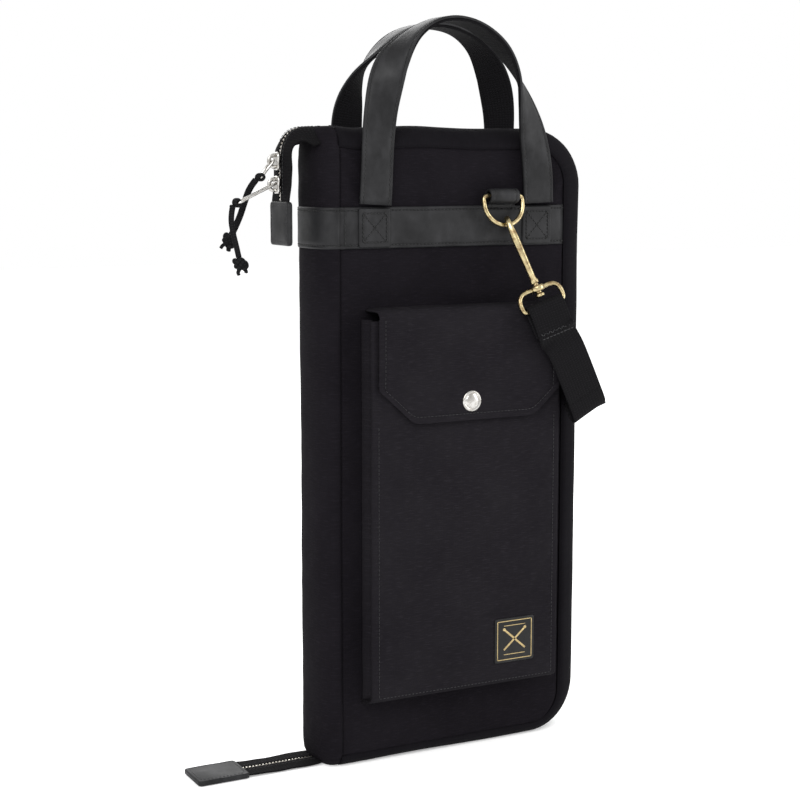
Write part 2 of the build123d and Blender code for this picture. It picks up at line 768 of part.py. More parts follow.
def cord_radii(points):
    """Bend radius at each inner corner, 0.45 of the shorter run over the tangent of half the turn."""
    radii = []
    for before, here, after in zip(points, points[1:], points[2:]):
        arriving = Vector(*here) - Vector(*before)
        leaving = Vector(*after) - Vector(*here)
        half_turn = radians(arriving.get_angle(leaving)) / 2
        radii.append(0.45 * min(arriving.length, leaving.length) / tan(half_turn))
    return radii


def pull_cord(points):
    """Doubled pull cord as one plain tube along its route."""
    radii = cord_radii(points)
    with BuildPart() as cord:
        with BuildLine() as path:
            FilletPolyline(*points, radius=radii)
        with BuildSketch(Plane(origin=path.line @ 0, z_dir=path.line % 0)):
            Circle(CORD_R)
        sweep(path=path.line)
    length = path.wire().length
    print("cord radii", [round(radius, 1) for radius in radii])
    print("cord length", round(length, 1))
    print("tube volume", round(cord.part.volume, 1))
    print("section times length", round(pi * CORD_R ** 2 * length, 1))
    return cord.part


KNOT = 11.0                 # width of a tied knot


def knot(points, size):
    """Tied end of a pull cord, a rounded lump in line with the cord's end."""
    along = (Vector(*points[-1]) - Vector(*points[-2])).normalized()
    with BuildPart() as lump:
        with BuildSketch(Plane(origin=points[-1], z_dir=along)):
            RectangleRounded(size, size, size / 4)
        extrude(amount=size * 1.25)
        fillet(lump.faces().sort_by(Axis.Z)[0].edges(), size / 6)
    return lump.part


UPPER_CORD = [
    (-152.9, 2.2, 441.4),
    (-155.6, 7.4, 436.0),
    (-158.4, 10.0, 426.0),
    (-162.6, 11.0, 413.0),
    (-168.6, 11.0, 402.0),
]
LOWER_CORD = [
    (-171.9, 0, 422.4),
    (-174.2, -1.6, 415.0),
    (-173.6, -4.0, 404.5),
    (-171.2, -5.4, 393.0),
    (-170.0, -6.0, 386.5),
]
save(pull_cord(UPPER_CORD), "upper_pull_cord")
save(pull_cord(LOWER_CORD), "lower_pull_cord")
save(knot(UPPER_CORD, KNOT), "upper_cord_knot")
save(knot(LOWER_CORD, KNOT), "lower_cord_knot")
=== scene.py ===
"""Looks of the drum stick bag: canvas, leather, webbing, metal and cords around the fixed CAD frame.

Sizes below are in millimetres in the CAD's own frame: +Z up, -Y towards the pocket side, X across
the bag with the spine at -X.  Meshes are made in metres.
"""

import bpy
import numpy as np
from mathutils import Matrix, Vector, noise


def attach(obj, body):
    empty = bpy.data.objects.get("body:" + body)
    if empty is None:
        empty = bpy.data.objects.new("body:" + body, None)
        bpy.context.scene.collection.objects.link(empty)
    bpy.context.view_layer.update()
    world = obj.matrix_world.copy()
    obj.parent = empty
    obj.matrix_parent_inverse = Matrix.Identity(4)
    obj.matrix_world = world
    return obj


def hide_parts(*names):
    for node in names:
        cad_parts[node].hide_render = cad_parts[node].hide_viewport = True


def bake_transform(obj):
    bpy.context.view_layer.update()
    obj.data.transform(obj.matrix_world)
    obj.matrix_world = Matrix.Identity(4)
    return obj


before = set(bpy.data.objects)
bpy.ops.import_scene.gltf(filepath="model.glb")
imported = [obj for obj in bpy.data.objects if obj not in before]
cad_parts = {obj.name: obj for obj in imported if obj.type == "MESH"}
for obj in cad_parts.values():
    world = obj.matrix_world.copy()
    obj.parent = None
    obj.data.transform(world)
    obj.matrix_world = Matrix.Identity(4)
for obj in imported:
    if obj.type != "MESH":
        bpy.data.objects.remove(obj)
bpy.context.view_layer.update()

MM = 0.001
UP = np.array([0.0, 0.0, 1.0])
FORWARD = np.array([0.0, -1.0, 0.0])


# ---------------------------------------------------------------- camera, light and floor
def add_camera():
    data = bpy.data.cameras.new("camera")
    camera = bpy.data.objects.new("camera", data)
    bpy.context.scene.collection.objects.link(camera)
    camera.location = (-0.6295, -1.14035, 0.45421)
    target = Vector((-0.03659, 0.0, 0.27389))
    camera.rotation_euler = (target - camera.location).to_track_quat("-Z", "Y").to_euler()
    data.lens = 76.27
    data.sensor_width = 36.0
    data.clip_start = 0.05
    bpy.context.scene.camera = camera


def add_area(name, place, target, size, power, colour=(1, 1, 1)):
    data = bpy.data.lights.new(name, "AREA")
    data.shape = "RECTANGLE"
    data.size = size[0]
    data.size_y = size[1]
    data.energy = power
    data.color = colour
    light = bpy.data.objects.new(name, data)
    bpy.context.scene.collection.objects.link(light)
    light.location = place
    light.rotation_euler = (Vector(target) - Vector(place)).to_track_quat("-Z", "Y").to_euler()


def add_studio():
    world = bpy.data.worlds.new("studio")
    bpy.context.scene.world = world
    world.use_nodes = True
    background = world.node_tree.nodes["Background"]
    background.inputs["Color"].default_value = (1.0, 1.0, 1.0, 1.0)
    background.inputs["Strength"].default_value = 1.0
    add_area("key", (-1.3, -1.5, 1.6), (0, 0, 0.3), (1.2, 1.2), 34)
    add_area("fill", (1.6, -1.2, 0.9), (0, 0, 0.25), (0.9, 1.6), 16)
    add_area("back_light", (0.4, 1.7, 1.3), (0, 0, 0.35), (1.6, 1.0), 20)
    mesh = bpy.data.meshes.new("floor")
    half = 6.0
    square = [(-half, -half, 0), (half, -half, 0), (half, half, 0), (-half, half, 0)]
    mesh.from_pydata(square, [], [(0, 1, 2, 3)])
    floor = bpy.data.objects.new("floor", mesh)
    bpy.context.scene.collection.objects.link(floor)
    paint = bpy.data.materials.new("floor_paint")
    paint.use_nodes = True
    shader = paint.node_tree.nodes["Principled BSDF"]
    shader.inputs["Base Color"].default_value = (0.86, 0.86, 0.86, 1)
    shader.inputs["Roughness"].default_value = 0.9
    shader.inputs["Emission Color"].default_value = (1, 1, 1, 1)
    shader.inputs["Emission Strength"].default_value = 0.32
    mesh.materials.append(paint)
    bpy.context.scene.view_settings.view_transform = "Standard"


# ---------------------------------------------------------------- materials
class Paint:
    """Small helper that builds one procedural material."""

    def __init__(self, name):
        self.material = bpy.data.materials.new(name)
        self.material.use_nodes = True
        self.tree = self.material.node_tree
        self.shader = self.tree.nodes["Principled BSDF"]
        self.bump_before = None

    def node(self, kind, **inputs):
        made = self.tree.nodes.new(kind)
        for key, value in inputs.items():
            self.put(made, key.replace("_", " "), value)
        return made

    def put(self, node, key, value):
        socket = node.inputs[int(key)] if key.isdigit() else node.inputs[key]
        if isinstance(value, bpy.types.NodeSocket):
            self.tree.links.new(value, socket)
        else:
            socket.default_value = value

    def place(self, scale, source="UV"):
        """Coordinates in metres times a scale for each axis."""
        where = self.tree.nodes.new("ShaderNodeTexCoord")
        mapping = self.tree.nodes.new("ShaderNodeMapping")
        self.tree.links.new(where.outputs[source], mapping.inputs["Vector"])
        mapping.inputs["Scale"].default_value = scale
        return mapping.outputs["Vector"]

    def noise(self, vector, scale=1.0, detail=3.0, rough=0.55):
        made = self.node("ShaderNodeTexNoise", Vector=vector, Scale=scale, Detail=detail)
        made.inputs["Roughness"].default_value = rough
        return made.outputs["Fac"]

    def cells(self, vector, scale=1.0, feature="F1"):
        made = self.node("ShaderNodeTexVoronoi", Vector=vector, Scale=scale)
        made.feature = feature
        return made.outputs["Distance"]

    def bands(self, vector, scale, direction, distortion=0.0):
        made = self.node("ShaderNodeTexWave", Vector=vector, Scale=scale, Distortion=distortion)
        made.bands_direction = direction
        made.inputs["Detail"].default_value = 1.0
        return made.outputs["Fac"]

    def spread(self, value, low, high, start=0.0, end=1.0):
        made = self.tree.nodes.new("ShaderNodeMapRange")
        self.tree.links.new(value, made.inputs["Value"])
        for key, number in (("From Min", low), ("From Max", high), ("To Min", start), ("To Max", end)):
            made.inputs[key].default_value = number
        return made.outputs["Result"]

    def maths(self, kind, first, second):
        made = self.tree.nodes.new("ShaderNodeMath")
        made.operation = kind
        self.put(made, "0", first)
        self.put(made, "1", second)
        return made.outputs["Value"]

    def blend(self, factor, first, second):
        made = self.tree.nodes.new("ShaderNodeMix")
        made.data_type = "RGBA"
        self.put(made, "0", factor)
        for index, value in ((6, first), (7, second)):
            if isinstance(value, bpy.types.NodeSocket):
                self.tree.links.new(value, made.inputs[index])
            else:
                made.inputs[index].default_value = (*value, 1.0)
        return made.outputs[2]

    def colour(self, value):
        if isinstance(value, bpy.types.NodeSocket):
            self.tree.links.new(value, self.shader.inputs["Base Color"])
        else:
            self.shader.inputs["Base Color"].default_value = (*value, 1.0)

    def set(self, key, value):
        self.put(self.shader, key, value)

    def bump(self, height, strength, depth):
        """Add a layer of relief, depth in metres."""
        made = self.node("ShaderNodeBump", Height=height, Strength=strength, Distance=depth)
        if self.bump_before:
            self.tree.links.new(self.bump_before, made.inputs["Normal"])
        self.bump_before = made.outputs["Normal"]
        self.tree.links.new(self.bump_before, self.shader.inputs["Normal"])


def canvas_paint(name, dark, light, slub=1.0):
    """Woven canvas with fine horizontal slubs; u runs along the weft."""
    paint = Paint(name)
    slubs = paint.noise(paint.place((120, 1700, 1)), 1.0, 2.0, 0.6)
    streaks = paint.spread(slubs, 0.52, 0.74)
    weft = paint.bands(paint.place((1, 1, 1)), 255.0, "Y", 0.4)
    warp = paint.bands(paint.place((1, 1, 1)), 235.0, "X", 0.4)
    threads = paint.maths("MULTIPLY", weft, warp)
    cloudy = paint.noise(paint.place((14, 14, 1)), 1.0, 4.0)
    tone = paint.blend(paint.spread(cloudy, 0.3, 0.7), dark, light)
    bright = tuple(2.6 * c for c in light)
    paint.colour(paint.blend(paint.maths("MULTIPLY", streaks, 0.4 * slub), tone, bright))
    paint.set("Roughness", 0.92)
    paint.set("Specular IOR Level", 0.06)
    paint.bump(threads, 0.35, 0.00025)
    paint.bump(streaks, 0.5 * slub, 0.0002)
    return paint.material


def leather_paint(name, dark, light, shine=0.5):
    """Waxed pull-up leather: mottled, with fine grain and rubbed lighter patches."""
    paint = Paint(name)
    mottle = paint.noise(paint.place((38, 38, 38), "Object"), 1.0, 5.0, 0.62)
    rub = paint.noise(paint.place((120, 120, 60), "Object"), 1.0, 3.0, 0.5)
    grain = paint.cells(paint.place((1500, 1500, 1500), "Object"), 1.0, "F1")
    tone = paint.blend(paint.spread(mottle, 0.36, 0.68), dark, light)
    worn = paint.maths("MULTIPLY", paint.spread(rub, 0.5, 0.78), 0.5)
    paint.colour(paint.blend(worn, tone, tuple(1.8 * c for c in light)))
    paint.set("Roughness", paint.spread(mottle, 0.3, 0.7, shine + 0.12, shine - 0.04))
    paint.set("Specular IOR Level", 0.2)
    paint.bump(grain, 0.25, 0.00012)
    paint.bump(mottle, 0.35, 0.0008)
    return paint.material


def webbing_paint(name, dark, light):
    """Ribbed webbing; v runs along the strap."""
    paint = Paint(name)
    ribs = paint.bands(paint.place((1, 1, 1)), 170.0, "Y", 0.6)
    cords = paint.bands(paint.place((1, 1, 1)), 130.0, "X", 0.3)
    weave = paint.maths("MULTIPLY", ribs, cords)
    fuzz = paint.noise(paint.place((220, 900, 1)), 1.0, 3.0)
    tone = paint.blend(paint.maths("MULTIPLY", weave, 0.6), dark, light)
    paint.colour(paint.blend(paint.maths("MULTIPLY", paint.spread(fuzz, 0.5, 0.8), 0.35), tone, light))
    paint.set("Roughness", 0.88)
    paint.set("Specular IOR Level", 0.08)
    paint.bump(weave, 0.6, 0.0005)
    paint.bump(fuzz, 0.2, 0.0002)
    return paint.material


def metal_paint(name, bright, stain, roughness, wear=0.5):
    """Plated metal with stain in patches and fine scratches."""
    paint = Paint(name)
    patches = paint.noise(paint.place((260, 260, 260), "Object"), 1.0, 5.0, 0.65)
    scratches = paint.noise(paint.place((300, 300, 4200), "Object"), 1.0, 2.0, 0.5)
    tone = paint.blend(paint.maths("MULTIPLY", paint.spread(patches, 0.42, 0.66), wear), bright, stain)
    paint.colour(tone)
    paint.set("Metallic", 1.0)
    paint.set("Roughness", paint.spread(patches, 0.3, 0.7, roughness - 0.06, roughness + 0.14))
    paint.bump(scratches, 0.08, 0.0002)
    paint.bump(patches, 0.12, 0.0003)
    return paint.material


def thread_paint(name, tone):
    paint = Paint(name)
    twist = paint.bands(paint.place((1, 1, 1), "Object"), 900.0, "DIAGONAL")
    paint.colour(paint.blend(twist, tone, tuple(1.7 * c for c in tone)))
    paint.set("Roughness", 0.6)
    paint.bump(twist, 0.4, 0.0002)
    return paint.material


def lining_paint(name, dark, light):
    paint = Paint(name)
    weave = paint.bands(paint.place((1, 1, 1)), 480.0, "DIAGONAL", 0.3)
    cloudy = paint.noise(paint.place((20, 20, 1)), 1.0, 3.0)
    tone = paint.blend(cloudy, dark, light)
    paint.colour(paint.blend(paint.maths("MULTIPLY", weave, 0.3), tone, light))
    paint.set("Roughness", 0.8)
    paint.set("Specular IOR Level", 0.15)
    paint.bump(weave, 0.3, 0.0002)
    return paint.material


MAT = {
    "canvas": canvas_paint("canvas", (0.0040, 0.0033, 0.0046), (0.0066, 0.0056, 0.0074)),
    "pocket": canvas_paint("pocket_canvas", (0.0066, 0.0057, 0.0074), (0.0098, 0.0088, 0.0106), 1.15),
    # gusset: the panel canvas painted darker, with fainter slubs, as painted shade on the side strip that
    # turns away from the light
    "gusset_shade": canvas_paint("gusset_canvas_painted_shade", (0.0036, 0.0031, 0.0042), (0.0054, 0.0048, 0.0061), 0.6),
    "leather": leather_paint("leather", (0.0048, 0.0048, 0.0054), (0.0135, 0.0135, 0.0146)),
    "label": leather_paint("label_leather", (0.007, 0.007, 0.007), (0.011, 0.011, 0.011), 0.45),
    "webbing": webbing_paint("webbing", (0.0035, 0.0033, 0.0038), (0.0085, 0.008, 0.0092)),
    "tape": webbing_paint("zip_tape_cloth", (0.0030, 0.0028, 0.0032), (0.0062, 0.0058, 0.0066)),
    "cord": webbing_paint("cord_cloth", (0.0045, 0.0045, 0.005), (0.014, 0.014, 0.015)),
    "brass": metal_paint("antique_brass", (0.50, 0.42, 0.235), (0.16, 0.095, 0.045), 0.25, 0.9),
    "nickel": metal_paint("bright_nickel", (0.52, 0.51, 0.49), (0.24, 0.22, 0.19), 0.2, 0.7),
    "teeth": metal_paint("zip_nickel", (0.58, 0.55, 0.50), (0.20, 0.17, 0.13), 0.28, 0.8),
    "dark_thread": thread_paint("dark_thread", (0.0012, 0.0012, 0.0014)),
    # gate: the hook's brass painted much darker, as painted shade on the gate behind the bar
    "gate": metal_paint("gate_brass_painted_shade", (0.20, 0.15, 0.085), (0.07, 0.045, 0.025), 0.4, 0.8),
    "gold": metal_paint("gold_foil", (0.44, 0.34, 0.17), (0.25, 0.18, 0.08), 0.4, 0.4),
    "thread": thread_paint("thread", (0.0075, 0.0075, 0.0085)),
    "lining": lining_paint("lining", (0.010, 0.010, 0.0115), (0.021, 0.021, 0.024)),
}


# ---------------------------------------------------------------- mesh helpers
def piece(name, points, faces, finish, uvs=None, smooth=True):
    """Object from points in millimetres, flat where it rests on the floor; uvs are in metres."""
    points = np.array(points, float)
    points[:, 2] = np.maximum(points[:, 2], 0.0)
    mesh = bpy.data.meshes.new(name)
    mesh.from_pydata((points * MM).tolist(), [], [list(map(int, f)) for f in faces])
    mesh.validate()
    if uvs is not None:
        layer = mesh.uv_layers.new(name="UVMap")
        index = np.empty(len(mesh.loops), np.int32)
        mesh.loops.foreach_get("vertex_index", index)
        layer.data.foreach_set("uv", np.asarray(uvs, float)[index].astype(np.float32).ravel())
    mesh.polygons.foreach_set("use_smooth", [smooth] * len(mesh.polygons))
    mesh.materials.append(MAT[finish])
    made = bpy.data.objects.new(name, mesh)
    bpy.context.scene.collection.objects.link(made)
    return made


def lengths(grid, axis):
    """Running length along one axis of a grid of points, averaged over the other, in metres."""
    steps = np.linalg.norm(np.diff(grid, axis=axis), axis=2).mean(axis=1 - axis)
    return np.concatenate([[0.0], np.cumsum(steps)]) * MM


def normals_of(grid):
    along_u = np.gradient(grid, axis=0)
    along_v = np.gradient(grid, axis=1)
    n = np.cross(along_u, along_v)
    size = np.linalg.norm(n, axis=2, keepdims=True)
    return n / np.maximum(size, 1e-9)


def cloth(name, grid, finish, thickness=1.2, flip=False, flat_uv=False):
    """Closed thin sheet from a grid of points; the grid is its outer face."""
    grid = np.asarray(grid, float)
    nu, nv, _ = grid.shape
    n = normals_of(grid) * (-1 if flip else 1)
    inner = grid - n * thickness
    points = np.concatenate([grid.reshape(-1, 3), inner.reshape(-1, 3)])
    ids = np.arange(nu * nv).reshape(nu, nv)
    back = ids + nu * nv
    quads = []
    for top, turned in ((ids, False), (back, True)):
        a, b, c, d = top[:-1, :-1], top[1:, :-1], top[1:, 1:], top[:-1, 1:]
        stack = np.stack([a, b, c, d], axis=-1).reshape(-1, 4)
        quads.append(stack[:, ::-1] if turned != flip else stack)
    rim = np.concatenate([ids[:, 0], ids[-1, 1:], ids[-2::-1, -1], ids[0, -2:0:-1]])
    rim_back = rim + nu * nv
    follow = np.roll(rim, -1)
    follow_back = np.roll(rim_back, -1)
    side = np.stack([rim, rim_back, follow_back, follow], axis=-1)
    quads.append(side if not flip else side[:, ::-1])
    if flat_uv:
        uv = grid[..., [0, 2]].reshape(-1, 2) * MM
    else:
        u, v = np.meshgrid(lengths(grid, 0), lengths(grid, 1), indexing="ij")
        uv = np.stack([u, v], axis=-1).reshape(-1, 2)
    return piece(name, points, np.concatenate(quads), finish, np.concatenate([uv, uv]))


def catmull(points, per=8):
    """Smooth line through given points (any number of columns)."""
    p = np.asarray(points, float)
    p = np.vstack([2 * p[0] - p[1], p, 2 * p[-1] - p[-2]])
    out = []
    for i in range(1, len(p) - 2):
        for t in np.linspace(0, 1, per, endpoint=False):
            a, b, c, d = p[i - 1], p[i], p[i + 1], p[i + 2]
            out.append(0.5 * (2 * b + (c - a) * t + (2 * a - 5 * b + 4 * c - d) * t ** 2
                              + (3 * b - a - 3 * c + d) * t ** 3))
    out.append(p[-2])
    return np.array(out)


def unit(v):
    v = np.asarray(v, float)
    return v / np.maximum(np.linalg.norm(v, axis=-1, keepdims=True), 1e-9)


def strap_profile(width, thickness, edge=0.8, pad=0.0):
    """Cross-section of a flat strap: (across, through) pairs, with rounded edges."""
    half = width / 2
    e = min(edge, thickness * 0.49)
    across = np.linspace(-half + e, half - e, 9)
    crown = pad * (1 - (across / half) ** 2)
    top = [(x, thickness / 2 + c) for x, c in zip(across, crown)]
    low = [(x, -thickness / 2) for x in across[::-1]]
    side, level = half - e * 0.3, thickness / 2 - e * 0.3
    right = [(side, level), (half, 0), (side, -level)]
    left = [(-side, -level), (-half, 0), (-side, level)]
    return np.array(top + right + low + left)


def swept(name, path, across, profile, finish, closed=False, offset=0.0):
    """Profile carried along a path; across is the profile's first direction at each point."""
    path = np.asarray(path, float)
    across = unit(across)
    along = np.gradient(path, axis=0)
    if closed:
        along = np.roll(path, -1, axis=0) - np.roll(path, 1, axis=0)
    along = unit(along)
    across = unit(across - along * (across * along).sum(1, keepdims=True))
    through = np.cross(along, across)
    rings = (path[:, None, :] + profile[None, :, 0:1] * across[:, None, :]
             + (profile[None, :, 1:2] + offset) * through[:, None, :])
    n, m = rings.shape[:2]
    ids = np.arange(n * m).reshape(n, m)
    nxt = np.roll(ids, -1, axis=1)
    if closed:
        below, below_n = np.roll(ids, -1, axis=0), np.roll(nxt, -1, axis=0)
        faces = np.stack([ids, nxt, below_n, below], axis=-1).reshape(-1, 4).tolist()
    else:
        faces = np.stack([ids[:-1], nxt[:-1], nxt[1:], ids[1:]], axis=-1).reshape(-1, 4).tolist()
        faces += [ids[0][::-1].tolist(), ids[-1].tolist()]
    run = running(path) * MM
    uv = np.stack([np.broadcast_to(profile[None, :, 0] * MM, (n, m)),
                   np.broadcast_to(run[:, None], (n, m))], axis=-1).reshape(-1, 2)
    return piece(name, rings.reshape(-1, 3), faces, finish, uv)


def running(path):
    """Length along a path up to each of its points."""
    return np.concatenate([[0], np.cumsum(np.linalg.norm(np.diff(path, axis=0), axis=1))])


def wall(rings, count):
    """Faces between rings of points, each ring with the same count."""
    faces = []
    for k in range(rings - 1):
        for j in range(count):
            p, q = k * count + j, k * count + (j + 1) % count
            faces.append((p, q, q + count, p + count))
    return faces


def end_faces(rings, count):
    """Closing faces on the first and the last ring."""
    last = (rings - 1) * count
    return [tuple(range(count - 1, -1, -1)), tuple(range(last, last + count))]


def round_profile(radius, sides=12, flat=1.0):
    angles = np.linspace(0, 2 * np.pi, sides, endpoint=False)
    return np.stack([radius * np.cos(angles), radius * flat * np.sin(angles)], axis=-1)


def frames_along(path):
    """A steady sideways direction along a path."""
    path = np.asarray(path, float)
    along = unit(np.gradient(path, axis=0))
    side = np.cross(along[0], UP)
    if np.linalg.norm(side) < 0.2:
        side = np.cross(along[0], FORWARD)
    sides = []
    for t in along:
        side = side - t * side.dot(t)
        side = side / np.linalg.norm(side)
        sides.append(side.copy())
    return np.array(sides)


def tube(name, path, radius, finish, sides=12, closed=False, flat=1.0):
    path = np.asarray(path, float)
    return swept(name, path, frames_along(path), round_profile(radius, sides, flat), finish, closed)


def joined(name, objects):
    """One object from several."""
    for o in bpy.context.selected_objects:
        o.select_set(False)
    for o in objects:
        o.select_set(True)
    bpy.context.view_layer.objects.active = objects[0]
    bpy.ops.object.join()
    objects[0].name = name
    objects[0].data.name = name
    return objects[0]


def resample(path, step):
    path = np.asarray(path, float)
    run = running(path)
    count = max(int(round(run[-1] / step)), 1)
    at = np.linspace(0, run[-1], count + 1)
    return np.stack([np.interp(at, run, path[:, k]) for k in range(3)], axis=-1)


def stitches(name, paths, normals, pitch=3.4, width=0.55, lift=0.18, finish="thread"):
    """Rows of sewn stitches: short rounded threads that dip at each needle hole."""
    points, faces = [], []
    ring = np.array([(1, 0), (0, 1), (-1, 0), (0, -1)]) * width / 2
    for path, normal in zip(paths, normals):
        line = resample(path, pitch)
        normal = np.asarray(normal, float)
        for i in range(len(line) - 1):
            a, b = line[i], line[i + 1]
            t = unit(b - a)
            n = normal if normal.ndim == 1 else normal[min(i * len(normal) // len(line), len(normal) - 1)]
            side = unit(np.cross(t, n))
            up = np.cross(side, t)
            reach = np.linalg.norm(b - a)
            base = len(points)
            for s, height, size in ((0.1, -0.1, 0.5), (0.3, lift, 1.0), (0.7, lift, 1.0), (0.9, -0.1, 0.5)):
                centre = a + t * reach * s + up * height
                points.extend(centre + size * (x * side + y * up) for x, y in ring)
            for k in range(3):
                for j in range(4):
                    p, q = base + k * 4 + j, base + k * 4 + (j + 1) % 4
                    faces.append((p, q, q + 4, p + 4))
            faces.append((base + 3, base + 2, base + 1, base))
            faces.append((base + 12, base + 13, base + 14, base + 15))
    return piece(name, points, faces, finish)


def wobble(x, y, z, scale, seed=0.0):
    """Smooth noise between about -1 and 1 at a place in millimetres."""
    return noise.noise(Vector((x / scale + seed, y / scale - seed, z / scale + 2 * seed)))


# ---------------------------------------------------------------- cover shape
SEAM_TOP = 14.0             # how far the seam of the face panel sits in from the rim
SEAM_SIDE = 19.5
RIGHT = 112.5
SEAM_LOW = 8.0
LEFT = -100.0
FACE_Y = 26.0
GUSSET_Y = 9.0
BEND_ANGLES = np.radians([0, 1.5, 3.5, 6, 9, 14, 20, 28, 38, 50, 62, 74, 84, 90])
COLUMNS = np.concatenate([np.linspace(0, 0.965, 54), 1 - np.array([4.5, 3.2, 2.2, 1.4, 0.7, 0.0]) / 190])
CORNER_STEPS = 14
SIDE_STEPS = 96


def rim_line(f):
    """Outline of a cover at fraction f: 0 at the zip's rim, 1 at the seam of the face panel."""
    right, low, top = RIGHT - SEAM_SIDE * f, SEAM_LOW * f, 480 - SEAM_TOP * f
    r_low, r_top = 40 - 14 * f, 44 - 16 * f
    quarter = np.linspace(0, np.pi / 2, CORNER_STEPS)
    bottom = [(LEFT + u * (right - r_low - LEFT), low) for u in COLUMNS]
    first = [(right - r_low + r_low * np.sin(a), low + r_low - r_low * np.cos(a)) for a in quarter[1:]]
    side = [(right, z) for z in np.linspace(low + r_low, top - r_top, SIDE_STEPS)[1:]]
    second = [(right - r_top + r_top * np.cos(a), top - r_top + r_top * np.sin(a)) for a in quarter[1:]]
    upper = [(LEFT + u * (right - r_top - LEFT), top) for u in COLUMNS[::-1][1:]]
    return np.array(bottom + first + side + second + upper)


def side_part(line):
    """The part of a rim line that runs up the free side, corners included."""
    return line[len(COLUMNS) - 1:len(line) - len(COLUMNS) + 1]


def ease(x, low, high):
    t = np.clip((x - low) / (high - low), 0, 1)
    return t * t * (3 - 2 * t)


def settle_rim(points):
    """The soft top and bottom rims sag and wave a little."""
    out = np.array(points, float)
    flat = out.reshape(-1, 3)
    for p in flat:
        top = ease(p[2], 425, 480)
        p[2] -= top * (1.3 + 1.5 * wobble(p[0], 0, 0, 52, 3.1)) * ease(p[0], -108, -84)
    return out


def creases(x, y, z, seed):
    """Small folds that fan out where the gusset turns into the tails, plus broad soft waves."""
    corner = ease(-x, 40, 96) * ease(z, 380, 450)
    fan = wobble(x + 0.75 * z, y, 0, 11, seed) * 0.8 * corner
    low_corner = ease(-x, 60, 100) * (1 - ease(z, 15, 75))
    fan += wobble(x - 0.9 * z, y, 0, 10, seed + 2) * 0.7 * low_corner
    broad = 0.75 * wobble(x, 0, z * 0.6, 70, seed) + 0.28 * wobble(x, y, z, 24, seed + 5)
    return fan + broad


def seam_dip(distance):
    return 1.0 * np.exp(-(distance / 1.1) ** 2) - 0.35 * np.exp(-((distance - 3.0) / 1.5) ** 2)


def face_swell(x, z, seed, near):
    """How far the face panel stands out at a place, near millimetres away from its seam."""
    return ease(near, 0, 14) * (0.8 * creases(x, 0, z, seed) + 0.5) - seam_dip(near)


def face_grid(seed):
    """Face panel of the front cover, free of the gusset, from the spine edge to the seam."""
    right = side_part(rim_line(1.0))
    grid = np.empty((len(COLUMNS), len(right), 3))
    for j, (edge, z) in enumerate(right):
        for i, u in enumerate(COLUMNS):
            x = LEFT + u * (edge - LEFT)
            near = min(edge - x, 466 - z, z - 8) if i < len(COLUMNS) - 1 else 0.0
            near = max(near, 0.0)
            out = face_swell(x, z, seed, near)
            grid[i, j] = (x, -FACE_Y - out, z)
    return grid


def gusset_grid(seed):
    """Gusset round the three free sides, from the seam to the zip's edge."""
    rows = []
    for angle in BEND_ANGLES:
        line = rim_line(1 - np.sin(angle))
        y = -GUSSET_Y - (FACE_Y - GUSSET_Y) * np.cos(angle)
        rows.append([(x, y, z) for x, z in line])
    grid = np.array(rows)
    n = normals_of(grid)
    inward = np.sign((n * (grid - np.array([0, 0, 240.0]))).sum(2, keepdims=True))
    n = n * np.where(inward == 0, 1, inward)
    for m, angle in enumerate(BEND_ANGLES):
        reach = 16 * np.sin(angle)
        free = ease(angle, 0.15, 0.8) * (1 - 0.7 * ease(angle, 1.2, 1.57))
        for k in range(grid.shape[1]):
            x, y, z = grid[m, k]
            out = free * 0.8 * creases(x, y, z, seed) - seam_dip(reach)
            grid[m, k] += n[m, k] * out
    return settle_rim(grid)


def to_back(grid):
    out = np.array(grid, float)
    out[..., 1] *= -1
    return out


def settled(grid, held, slack=0.003, frames=16, push=0.0, cap=2.5):
    """Let a sheet hang for a moment as cloth; held marks the points sewn down."""
    nu, nv, _ = grid.shape
    ids = np.arange(nu * nv).reshape(nu, nv)
    quads = np.stack([ids[:-1, :-1], ids[1:, :-1], ids[1:, 1:], ids[:-1, 1:]], axis=-1).reshape(-1, 4)
    mesh = bpy.data.meshes.new("hanging")
    mesh.from_pydata((grid.reshape(-1, 3) * MM).tolist(), [], quads.tolist())
    sheet = bpy.data.objects.new("hanging", mesh)
    bpy.context.scene.collection.objects.link(sheet)
    group = sheet.vertex_groups.new(name="held")
    group.add([int(i) for i in ids[held]], 1.0, "REPLACE")
    drape = sheet.modifiers.new("drape", "CLOTH")
    cloth_set = drape.settings
    cloth_set.vertex_group_mass = "held"
    cloth_set.quality = 5
    cloth_set.mass = 0.4
    cloth_set.tension_stiffness = 25
    cloth_set.compression_stiffness = 20
    cloth_set.bending_stiffness = 3.0
    cloth_set.shrink_min = -slack
    cloth_set.shrink_max = -slack
    cloth_set.air_damping = 5
    if push:
        cloth_set.use_pressure = True
        cloth_set.uniform_pressure_force = push
    drape.collision_settings.use_self_collision = False
    scene = bpy.context.scene
    for number in range(1, frames + 1):
        scene.frame_set(number)
    evaluated = sheet.evaluated_get(bpy.context.evaluated_depsgraph_get())
    out = np.empty(nu * nv * 3, np.float32)
    evaluated.data.vertices.foreach_get("co", out)
    out = out.reshape(nu, nv, 3) / MM
    bpy.data.objects.remove(sheet)
    scene.frame_set(1)
    move = out - grid
    size = np.linalg.norm(move, axis=2, keepdims=True)
    return grid + move * np.minimum(1.0, cap / np.maximum(size, 1e-6))


def edge_mask(grid, rows=1):
    held = np.zeros(grid.shape[:2], bool)
    held[:rows] = held[-rows:] = True
    held[:, :rows] = held[:, -rows:] = True
    return held


